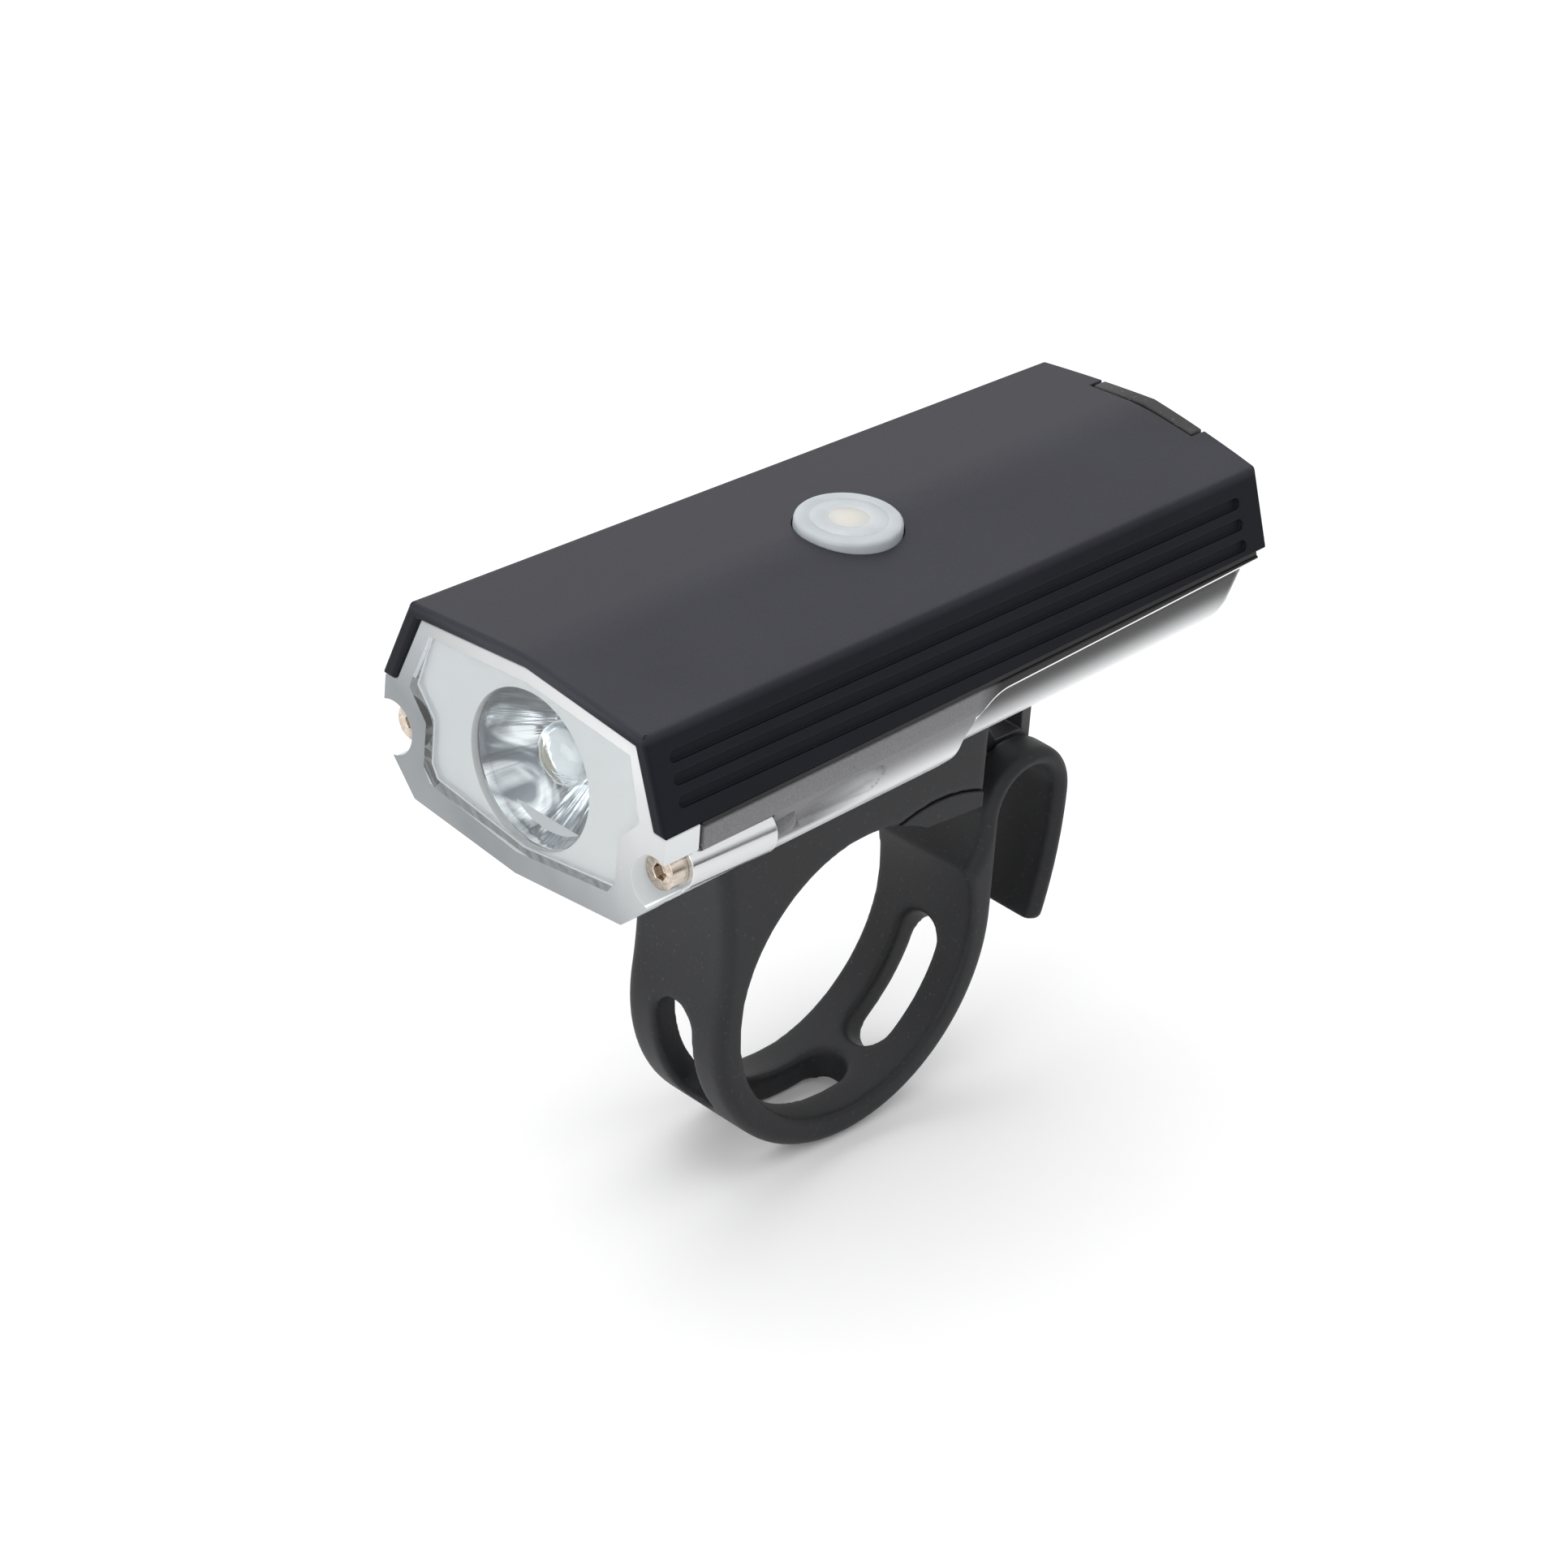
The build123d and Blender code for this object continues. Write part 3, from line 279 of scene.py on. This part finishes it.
def mirrored_cup():
    """Silvery wall of the collimator, with streaks that fan out from its axis, and painted reflections:
    swirls of light and dark, and darker to the left.
    """
    finish = Finish("mirrored_cup")
    away = finish.vector("SUBTRACT", finish.object_place, (0, 0, optic_z * MM))
    flat = finish.vector("MULTIPLY", away, (1, 0, 1))
    streak = finish.noise(4.0, detail=3.0, rough=0.6, place=finish.vector("NORMALIZE", flat))
    wave = finish.noise(160.0, detail=1.0)
    painted_swirl = finish.node("ShaderNodeTexNoise", {}, Vector=finish.object_place, Scale=140.0, Detail=1.5,
                        Roughness=0.5, Distortion=2.4)
    painted_light_to_right = finish.level(finish.parts(away)[0], -7.5 * MM, 3 * MM)
    # The painted reflections set how light or dark the silver is
    light = finish.level(painted_swirl, 0.4, 0.62) * 0.75 + painted_light_to_right * 0.45 + streak * 0.3
    silver = finish.mix(finish.level(streak, 0.35, 0.65), (0.72, 0.76, 0.79), (0.95, 0.97, 0.98))
    finish.set(Base_Color=finish.mix(finish.level(light, 0.25, 0.95), (0.10, 0.13, 0.16), silver),
               Metallic=1.0, Roughness=finish.spread(streak, 0.06, 0.16),
               Normal=finish.bump(streak * 0.7 + wave * 0.6, 0.5, 0.5))
    return finish


def milky_silicone():
    """Translucent white silicone, warmer where a lamp sits under its middle, with a greyer rim."""
    finish = Finish("milky_silicone")
    flat = finish.vector("MULTIPLY", finish.object_place, (1, 1, 0))
    away = finish.vector("DISTANCE", flat, (0, button_y * MM, 0))
    off_lamp = finish.level(away, 0.8 * MM, 2.6 * MM)
    on_rim = finish.level(away, 3.4 * MM, 4.2 * MM)
    cloud = finish.noise(350.0, detail=3.0)
    body = finish.mix(finish.spread(cloud), (0.41, 0.44, 0.46), (0.48, 0.51, 0.53))
    rim = finish.mix(finish.spread(cloud), (0.39, 0.42, 0.44), (0.44, 0.47, 0.485))
    warm = (0.56, 0.54, 0.49)
    finish.set(Base_Color=finish.mix(off_lamp, warm, finish.mix(on_rim, body, rim)),
               Subsurface_Weight=0.4, Subsurface_Radius=(0.002, 0.002, 0.002), Subsurface_Scale=0.5,
               Roughness=finish.spread(cloud, 0.3, 0.42), Normal=finish.bump(cloud, 0.1, 0.02))
    return finish


def circuit_board():
    """Green solder mask with tracks and gold pads."""
    finish = Finish("circuit_board")
    cells = finish.node("ShaderNodeTexVoronoi", {"feature": "DISTANCE_TO_EDGE"},
                        Vector=finish.object_place, Scale=420.0)
    tracks = cells < 0.06
    pads = finish.noise(700.0, detail=0.0) > 0.68
    mask = finish.mix(tracks, (0.012, 0.10, 0.045), (0.03, 0.19, 0.08))
    gold = (0.75, 0.55, 0.22)
    finish.set(Base_Color=finish.mix(pads, mask, gold), Metallic=pads * 0.9, Roughness=0.35,
               Normal=finish.bump(tracks, 0.4, 0.02))
    return finish


def pouch_foil():
    """Creased silvery foil of the battery's pouch."""
    finish = Finish("pouch_foil")
    crease = finish.noise(180.0, detail=4.0)
    colour = finish.mix(finish.spread(crease), (0.42, 0.46, 0.5), (0.62, 0.66, 0.7))
    finish.set(Base_Color=colour, Metallic=0.7, Roughness=finish.spread(crease, 0.28, 0.45),
               Normal=finish.bump(crease, 0.4, 0.1))
    return finish


def phosphor():
    """Yellow phosphor of the emitter, under a clear coat."""
    finish = Finish("phosphor")
    patches = finish.level(finish.noise(1500.0), 0.4, 0.6)
    finish.set(Base_Color=finish.mix(patches, (0.85, 0.76, 0.42), (0.9, 0.85, 0.6)), Roughness=0.35,
               Coat_Weight=0.5, Emission_Color=(0.9, 0.8, 0.5), Emission_Strength=0.05)
    return finish


# A painted highlight: a silver line along the wide round on the ledge over the housing's boot
painted_ledge_highlight = plated("painted_ledge_highlight", (0.9, 0.91, 0.92), (0.78, 0.79, 0.8), 0.3)
strap_rubber = moulded("strap_rubber", (0.0075, 0.0078, 0.0095), (0.014, 0.0145, 0.0165), 0.52,
                       speckle=0.12, grain_size=0.25, grain_depth=0.03, gloss=0.32)
port_rubber = moulded("port_rubber", (0.02, 0.02, 0.021), (0.075, 0.075, 0.076), 0.7,
                      speckle=0.2, grain_size=0.22, grain_depth=0.14)
hook_nylon = moulded("hook_nylon", (0.015, 0.015, 0.017), (0.027, 0.027, 0.03), 0.4, speckle=0.1)
seal_rubber = moulded("seal_rubber", (0.02, 0.02, 0.02), (0.04, 0.04, 0.04), 0.65)
foam_black = moulded("foam_black", (0.03, 0.03, 0.03), (0.07, 0.07, 0.07), 0.9,
                     grain_size=0.5, grain_depth=0.2)
bezel_grey = moulded("bezel_grey", (0.74, 0.755, 0.765), (0.8, 0.81, 0.815), 0.34,
                     grain_size=0.3, grain_depth=0.01)
white_plastic = moulded("white_plastic", (0.75, 0.75, 0.72), (0.84, 0.84, 0.82), 0.4)
chip_black = moulded("chip_black", (0.015, 0.015, 0.016), (0.03, 0.03, 0.03), 0.55)
ferrite = moulded("ferrite", (0.06, 0.06, 0.065), (0.1, 0.1, 0.105), 0.6, grain_size=0.2, grain_depth=0.06)
plunger_grey = moulded("plunger_grey", (0.2, 0.2, 0.22), (0.28, 0.28, 0.3), 0.45)
lead_red = moulded("lead_red", (0.45, 0.02, 0.015), (0.6, 0.05, 0.03), 0.45)
lead_white = moulded("lead_white", (0.6, 0.6, 0.57), (0.72, 0.72, 0.7), 0.45)
led_white = moulded("led_white", (0.8, 0.8, 0.72), (0.9, 0.9, 0.85), 0.25)
clear_cover = clear("clear_cover", (0.96, 0.98, 0.985))
clear_tube = clear("clear_tube", (0.74, 0.755, 0.76), shine=0.75, rough=0.14)
# Walls and rim of the clear cap, each with painted light that grows upwards and to the right and faint
# painted emission
outer_wall = frosted("cap_outer_wall", (0.19, 0.21, 0.22), (0.42, 0.43, 0.435),
                     bottom=28.0, top=50.0, painted_glow=0.9)
inner_wall = frosted("cap_inner_wall", (0.62, 0.65, 0.67), (0.9, 0.91, 0.92),
                     bottom=28.0, top=46.0, painted_glow=0.4)
front_rim = frosted("cap_front_rim", (0.074, 0.084, 0.09), (0.36, 0.365, 0.37),
                    bottom=28.0, top=48.0, painted_glow=0.9)
optic_clear = clear("optic_clear", (0.97, 0.985, 0.99))
screw_nickel = plated("screw_nickel", (0.71, 0.64, 0.56), (0.46, 0.38, 0.31), 0.2)
screw_steel = plated("screw_steel", (0.6, 0.61, 0.63), (0.4, 0.41, 0.43), 0.3)
socket_steel = plated("socket_steel", (0.72, 0.72, 0.74), (0.55, 0.55, 0.57), 0.25)
sink_aluminium = plated("sink_aluminium", (0.72, 0.73, 0.75), (0.58, 0.6, 0.62), 0.4)
board_aluminium = moulded("board_aluminium", (0.78, 0.79, 0.78), (0.86, 0.87, 0.86), 0.35)
insert_brass = plated("insert_brass", (0.75, 0.56, 0.24), (0.5, 0.36, 0.14), 0.3)

finishes = {
    "top_cover": textured_black(), "lower_housing": graded_satin(), "front_cover": clear_cover,
    "bezel": bezel_grey, "collimator_optic": optic_clear, "optic_holder": white_plastic,
    "led_board": board_aluminium, "led_emitter": phosphor(), "heat_sink": sink_aluminium,
    "cover_screws": screw_nickel, "led_screws": screw_steel, "lens_seal": seal_rubber,
    "housing_seal": seal_rubber, "battery_pack": pouch_foil(), "battery_foam": foam_black,
    "battery_leads": lead_red, "led_leads": lead_white, "main_board": circuit_board(),
    "board_screws": screw_steel, "driver_chips": chip_black, "inductor": ferrite,
    "status_leds": led_white, "tact_switch": chip_black, "switch_plunger": plunger_grey,
    "usb_socket": socket_steel, "power_button": milky_silicone(), "button_retainer": chip_black,
    "port_cover": port_rubber, "port_cover_root": port_rubber, "strap_mount": strap_rubber,
    "bar_pad": strap_rubber, "hook_plate": hook_nylon, "bracket_screw": screw_steel,
    "bracket_insert": insert_brass,
}
for name, finish in finishes.items():
    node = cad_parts[name]
    node.data.materials.clear()
    node.data.materials.append(finish.material)


# Ways to make a piece

def add_piece(name, mesh, finish, body):
    """Put a finished mesh in the scene as a piece that rides on a body."""
    for face in mesh.faces:
        face.smooth = True
    data = bpy.data.meshes.new(name)
    mesh.to_mesh(data)
    mesh.free()
    data.materials.append(finish.material)
    piece = bpy.data.objects.new(name, data)
    bpy.context.scene.collection.objects.link(piece)
    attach(piece, body)
    return piece


def node_copy(name):
    """A bmesh of a CAD node with its loose triangles joined."""
    mesh = bmesh.new()
    mesh.from_mesh(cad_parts[name].data)
    bmesh.ops.remove_doubles(mesh, verts=mesh.verts, dist=0.002 * MM)
    return mesh


def apply_modifiers(piece):
    """Apply a piece's modifiers to its mesh and shade it smooth."""
    graph = bpy.context.evaluated_depsgraph_get()
    data = bpy.data.meshes.new_from_object(piece.evaluated_get(graph))
    for face in data.polygons:
        face.use_smooth = True
    piece.modifiers.clear()
    piece.data = data


def shade_evenly(piece):
    """Let the large faces of a piece rule its shading, apart from edges that are marked sharp."""
    weighted = piece.modifiers.new("even_shading", "WEIGHTED_NORMAL")
    weighted.weight = 60
    weighted.keep_sharp = True
    apply_modifiers(piece)


def is_sharp(edge):
    """Whether an edge between two faces turns enough to be rounded."""
    return len(edge.link_faces) == 2 and edge.calc_face_angle() > math.radians(30)


def round_edges(mesh, edges, width, segments):
    """Round some edges of a mesh, and give the faces of the rounds."""
    rounds = bmesh.ops.bevel(mesh, geom=edges, offset=width * MM, offset_type="OFFSET", affect="EDGES",
                             segments=segments, profile=0.5, material=-1, clamp_overlap=False)
    return rounds["faces"]


def softened(name, width, body="light", skip=None, broad=None, after=None):
    """Stand a joined copy of a CAD node in for it, with small rounds on its sharp edges.

    Edges that skip picks stay as they are, and those that broad picks get a wider round with material 1,
    which on the housing is a painted highlight.
    After changes the mesh once it is rounded.
    """
    broad_width = 0.4
    mesh = node_copy(name)
    plain = [edge for edge in mesh.edges if not (skip and skip(edge))]
    bmesh.ops.dissolve_limit(mesh, angle_limit=math.radians(0.2), verts=[] if skip else mesh.verts,
                             edges=plain)
    if broad:
        wide_edges = [edge for edge in mesh.edges if broad(edge)]
        for face in round_edges(mesh, wide_edges, broad_width, segments=3):
            face.material_index = 1
    sharp_edges = [edge for edge in mesh.edges if not (skip and skip(edge)) and is_sharp(edge)]
    round_edges(mesh, sharp_edges, width, segments=2)
    if skip:
        for edge in mesh.edges:
            if skip(edge) and is_sharp(edge):
                edge.smooth = False
    if after:
        after(mesh)
    piece = add_piece(name + "_moulded", mesh, finishes[name], body)
    shade_evenly(piece)
    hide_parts(name)
    return piece


def lathed(name, outline, centre, axis, finish, body, steps=64):
    """Spin an outline of (radius, place along the axis) round Y or Z through centre."""
    mesh = bmesh.new()
    points = []
    x, y, z = centre
    for radius, along in outline:
        place = (x + radius, along, z) if axis == "Y" else (x + radius, y, along)
        points.append(mesh.verts.new(Vector(place) * MM))
    for first, second in zip(points, points[1:]):
        mesh.edges.new((first, second))
    bmesh.ops.spin(mesh, geom=mesh.verts[:] + mesh.edges[:], cent=Vector(centre) * MM,
                   axis=(0, 1, 0) if axis == "Y" else (0, 0, 1), angle=math.tau, steps=steps, use_merge=True)
    bmesh.ops.remove_doubles(mesh, verts=mesh.verts, dist=0.001 * MM)
    bmesh.ops.recalc_face_normals(mesh, faces=mesh.faces)
    return add_piece(name, mesh, finish, body)


# Strap: the solid remeshed finely and smoothed, so that its edges are round like moulded rubber

strap = add_piece("strap", node_copy("strap_mount"), strap_rubber, "light")
remesh = strap.modifiers.new("skin", "REMESH")
remesh.mode = "VOXEL"
remesh.voxel_size = 0.3 * MM
soften = strap.modifiers.new("soften", "SMOOTH")
soften.factor = 0.5
soften.iterations = 16
apply_modifiers(strap)
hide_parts("strap_mount")


# Shells and small mouldings with softened edges

def on_roof(edge):
    """The cover's roof and its long round edges, which the CAD shapes already."""
    roof_low, roof_front, roof_back = 44.5, -40.0, 41.0
    return (any(abs(face.normal.z) > 0.3 for face in edge.link_faces)
            and all(vert.co.z > roof_low * MM and roof_front * MM < vert.co.y < roof_back * MM
                    for vert in edge.verts))


def over_boot(edge):
    """The outer edge of the ledge above the boot, where a highlight is painted."""
    boot_front, ledge_low, ledge_inner = 1, 28, 14
    middle = (edge.verts[0].co + edge.verts[1].co) / 2 / MM
    return (middle.y > boot_front and middle.z > ledge_low and abs(middle.x) > ledge_inner
            and len(edge.link_faces) == 2 and edge.is_convex
            and min(face.normal.z for face in edge.link_faces) < -0.5
            and max(abs(face.normal.x) for face in edge.link_faces) > 0.9)


softened("top_cover", width=0.13, skip=on_roof)
housing = softened("lower_housing", width=0.16, broad=over_boot)
# Material 1 is the painted highlight along the ledge over the boot
housing.data.materials.append(painted_ledge_highlight.material)   # material 1, of the wide round over the boot
softened("bezel", width=0.06)
softened("cover_screws", width=0.1)
softened("port_cover", width=0.2, body="port_door")
softened("bar_pad", width=0.15)
softened("hook_plate", width=0.2)


# Front cap: clear window and tubes, milky rim and outer wall, white pocket wall, these three with painted
# light and painted emission

FACE_BACK = -40.0    # the front face of the cap lies before this Y
PLATE_BACK = -38.4   # the cap's plate ends here, and its walls begin
TUBE_FRONT = -37.4   # the screw tubes stand behind this Y
TUBE_REACH = 2.75    # radius that takes in the whole of a screw tube

# Corners of the window's right half, as (X, Z), from its bottom to its top
half_window = [(0, 26.34), (12.21, 27.95), (13.13, 29.33), (13.13, 33.94), (15.64, 36.74), (13.86, 43.0),
               (0, 44.2)]
window = half_window + [(-x, z) for x, z in half_window[-2:0:-1]]
window_sides = list(zip(window, window[1:] + window[:1]))


def in_front(face):
    """Whether a face is part of the cap's front."""
    return face.normal.y < -0.97 and face.calc_center_median().y < FACE_BACK * MM


def cut_window(mesh):
    """Divide the cap's front face along the lines of the window in it."""
    for (x1, z1), (x2, z2) in window_sides:
        faces = [face for face in mesh.faces if in_front(face)]
        around = {part for face in faces for part in (*face.verts, *face.edges)}
        bmesh.ops.bisect_plane(mesh, geom=faces + list(around), dist=0.001 * MM,
                               plane_co=Vector((x1, 0, z1)) * MM, plane_no=(z2 - z1, 0, x1 - x2))


def in_window(x, z):
    """Whether a place on the front lies in the window: a line from it crosses an odd number of sides."""
    crossed = 0
    for (x1, z1), (x2, z2) in window_sides:
        if (z1 > z) != (z2 > z) and x < x1 + (z - z1) * (x2 - x1) / (z2 - z1):
            crossed += 1
    return crossed % 2 == 1


# The cap's materials, by their order in its mesh
CLEAR, TUBE, OUTER, INNER, RIM = range(5)
cap = softened("front_cover", width=0.14, after=cut_window)
for finish in (clear_tube, outer_wall, inner_wall, front_rim):
    cap.data.materials.append(finish.material)
for face in cap.data.polygons:
    x, y, z = face.center / MM
    from_screw = math.hypot(abs(x) - screw_x, z - screw_z)
    outward = x * face.normal.x + (z - optic_z) * face.normal.z
    if from_screw < TUBE_REACH and y > TUBE_FRONT:
        face.material_index = TUBE
    elif abs(face.normal.y) > 0.75 and y < PLATE_BACK:
        face.material_index = CLEAR if y > FACE_BACK or in_window(x, z) else RIM
    elif outward > 0 and face.normal.y < 0.75:
        face.material_index = OUTER
    else:
        face.material_index = INNER


# Screw threads, seen through the clear tubes, and the housing's skin over the tips of the screws

THREAD_FRONT = -34.0
THREAD_PITCH = 0.4
THREAD_TURNS = 18
THREAD_CORE, THREAD_ROOT, THREAD_CREST = 0.95, 1.0, 1.12   # radii
THREAD_END = 0.1                                           # plain stretch before and after the turns

thread = [(THREAD_CORE, THREAD_FRONT - THREAD_END)]
for turn in range(THREAD_TURNS):
    valley = THREAD_FRONT + turn * THREAD_PITCH
    thread += [(THREAD_ROOT, valley), (THREAD_CREST, valley + THREAD_PITCH / 2)]
thread_back = THREAD_FRONT + THREAD_TURNS * THREAD_PITCH
thread += [(THREAD_ROOT, thread_back), (THREAD_CORE, thread_back + THREAD_END), thread[0]]

BOSS_FRONT, BOSS_BACK = -25.9, -22.7
BOSS_RADIUS = 1.45
boss = [(0, BOSS_FRONT), (BOSS_RADIUS, BOSS_FRONT), (BOSS_RADIUS, BOSS_BACK - 0.7),
        (BOSS_RADIUS - 0.15, BOSS_BACK - 0.35), (0.8, BOSS_BACK - 0.1), (0, BOSS_BACK)]

for side, side_name in ((1, "right"), (-1, "left")):
    screw_axis = (side * screw_x, 0, screw_z)
    lathed("screw_thread_" + side_name, thread, screw_axis, "Y", screw_nickel, "light",
           steps=40)
    lathed("screw_tip_boss_" + side_name, boss, screw_axis, "Y", finishes["lower_housing"], "light",
           steps=32)


# Collimator: mirrored cup with a clear bulb over the emitter

CUP_MOUTH, CUP_THROAT = 8.05, 2.75   # radii of the mirrored wall at its ends
CUP_OUTER = 8.18
WALL_CURVE = 1.25                    # over 1, the wall stands straighter at the mouth than at the throat
WALL_STEPS = 12
BULB_SEAT = 2.1                      # from the bulb's flat back to the optic's

wall_depth = optic_back - optic_front - 0.35
cup = [(CUP_MOUTH + 0.05, optic_front + 0.05)]
for step in range(WALL_STEPS + 1):
    share = step / WALL_STEPS
    radius = CUP_MOUTH - (CUP_MOUTH - CUP_THROAT) * share ** WALL_CURVE
    cup.append((radius, optic_front + 0.1 + wall_depth * share))
cup += [(CUP_THROAT, optic_back - 0.05), (CUP_THROAT + 0.85, optic_back - 0.05),
        (CUP_MOUTH, optic_front + 1.25), (CUP_OUTER, optic_front + 1.1),
        (CUP_OUTER, optic_front + 0.05), cup[0]]

# The bulb's dome as (radius, depth behind the optic's front)
dome = [(0.0, 1.3), (1.2, 1.45), (2.3, 1.95), (3.0, 2.8), (3.2, 3.7), (2.9, 4.8)]
bulb = [(radius, optic_front + depth) for radius, depth in dome]
bulb += [(2.45, optic_back - BULB_SEAT), (0.0, optic_back - BULB_SEAT)]

optic_axis = (0, 0, optic_z)
collimator = lathed("collimator_cup", cup, optic_axis, "Y", mirrored_cup(), "light", steps=96)
lens = lathed("collimator_bulb", bulb, optic_axis, "Y", optic_clear, "light")
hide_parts("collimator_optic")
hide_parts("collimator_optic")


# Power button: milky cap with two faint rings, its flange and stem

BUTTON_SINK = 0.3                    # how much lower the button stands than in the CAD
BUTTON_RADIUS = 5.3
FLANGE_RADIUS, FLANGE_THICKNESS = 6.3, 0.8
FLANGE_DROP = 4.15                   # from the CAD button's top to the flange's underside
STEM_RADIUS = 1.6

button_top = cad_button_top - BUTTON_SINK
flange = cad_button_top - FLANGE_DROP
cap_line = [(0.0, button_top)]
for radius, half_width, depth in ((1.98, 0.08, 0.05), (3.8, 0.1, 0.08)):
    cap_line += [(radius - half_width, button_top), (radius, button_top - depth),
                 (radius + half_width, button_top)]
cap_line += [(BUTTON_RADIUS - 0.55, button_top), (BUTTON_RADIUS - 0.25, button_top - 0.08),
             (BUTTON_RADIUS - 0.08, button_top - 0.25), (BUTTON_RADIUS - 0.02, button_top - 0.5),
             (BUTTON_RADIUS, button_top - 0.9), (BUTTON_RADIUS, flange + FLANGE_THICKNESS),
             (FLANGE_RADIUS, flange + FLANGE_THICKNESS), (FLANGE_RADIUS, flange),
             (STEM_RADIUS, flange), (STEM_RADIUS, stem_end), (0.0, stem_end)]
button = lathed("button_cap", cap_line, (0, button_y, 0), "Z", finishes["power_button"], "button",
                steps=96)
shade_evenly(button)
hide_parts("power_button")


# Camera, where the photograph was taken from

azimuth, elevation, roll = (math.radians(degrees) for degrees in (43.506, 30.593, 4.3))
camera_right, camera_up, camera_back = 1.838, 12.912, 576.561
fit_origin = Vector((0, -7.0, 6.1))   # the point that these three are measured from

level_right = Vector((math.cos(azimuth), math.sin(azimuth), 0))
back = Vector((math.sin(azimuth) * math.cos(elevation), -math.cos(azimuth) * math.cos(elevation),
               math.sin(elevation)))
level_up = back.cross(level_right)
right = level_right * math.cos(roll) + level_up * math.sin(roll)
up = level_up * math.cos(roll) - level_right * math.sin(roll)
place = (right * camera_right + up * camera_up + back * camera_back + fit_origin) * MM

camera = bpy.data.objects.new("camera", bpy.data.cameras.new("camera"))
camera.matrix_world = Matrix((
    (right.x, up.x, back.x, place.x), (right.y, up.y, back.y, place.y),
    (right.z, up.z, back.z, place.z), (0, 0, 0, 1)))
camera.data.sensor_width = 36.0
camera.data.lens = 135.67
camera.data.clip_start = 0.01
bpy.context.scene.collection.objects.link(camera)
bpy.context.scene.camera = camera


# Floor, just under the strap

FLOOR_Z = -19.3
mesh = bmesh.new()
bmesh.ops.create_grid(mesh, x_segments=1, y_segments=1, size=3.0)
bmesh.ops.translate(mesh, verts=mesh.verts, vec=(0, 0, FLOOR_Z * MM))
floor_data = bpy.data.meshes.new("floor")
mesh.to_mesh(floor_data)
mesh.free()
pale_floor = Finish("pale_floor")
pale_floor.set(Base_Color=(0.9, 0.9, 0.9), Roughness=0.6)
floor_data.materials.append(pale_floor.material)
floor = bpy.data.objects.new("floor", floor_data)
bpy.context.scene.collection.objects.link(floor)


# Light: a white sky with a dark flag low on the right, and two soft boxes

class Sky(Finish):
    """The scene's world, with the same short ways to fill its node tree."""

    def __init__(self, name):
        self.world = bpy.data.worlds.new(name)
        self.world.use_nodes = True
        self.tree = self.world.node_tree


SKY_STRENGTH, FLAG_DARKNESS = 1.12, 1.06

sky = Sky("studio")
bpy.context.scene.world = sky.world
towards = sky.node("ShaderNodeTexCoord", {}, out="Generated")
facing_flag = sky.vector("DOT_PRODUCT", towards, (0.78, 0.62, 0))
height = sky.parts(towards)[2]
flag = sky.level(facing_flag, 0.1, 0.6) * (1 - sky.level(height, 0.08, 0.36))
background = sky.tree.nodes["Background"]
sky.feed(background.inputs["Strength"], SKY_STRENGTH - flag * FLAG_DARKNESS)
sky.feed(background.inputs["Color"], (1, 1, 1))
bpy.context.scene.view_settings.view_transform = "Standard"


def soft_box(name, where, size, watts):
    """A soft area lamp that faces the middle of the object; its place and size are in metres."""
    aim = Vector((0, 0, 0.03))
    lamp = bpy.data.lights.new(name, "AREA")
    lamp.shape = "RECTANGLE"
    lamp.size, lamp.size_y = size
    lamp.energy = watts
    box = bpy.data.objects.new(name, lamp)
    box.location = where
    box.rotation_euler = (aim - Vector(where)).to_track_quat("-Z", "Y").to_euler()
    bpy.context.scene.collection.objects.link(box)


soft_box("over_box", where=(-0.2, 0.0, 0.6), size=(0.6, 0.6), watts=0.9)
soft_box("front_box", where=(0.1, -0.6, 0.25), size=(0.4, 0.3), watts=1.0)
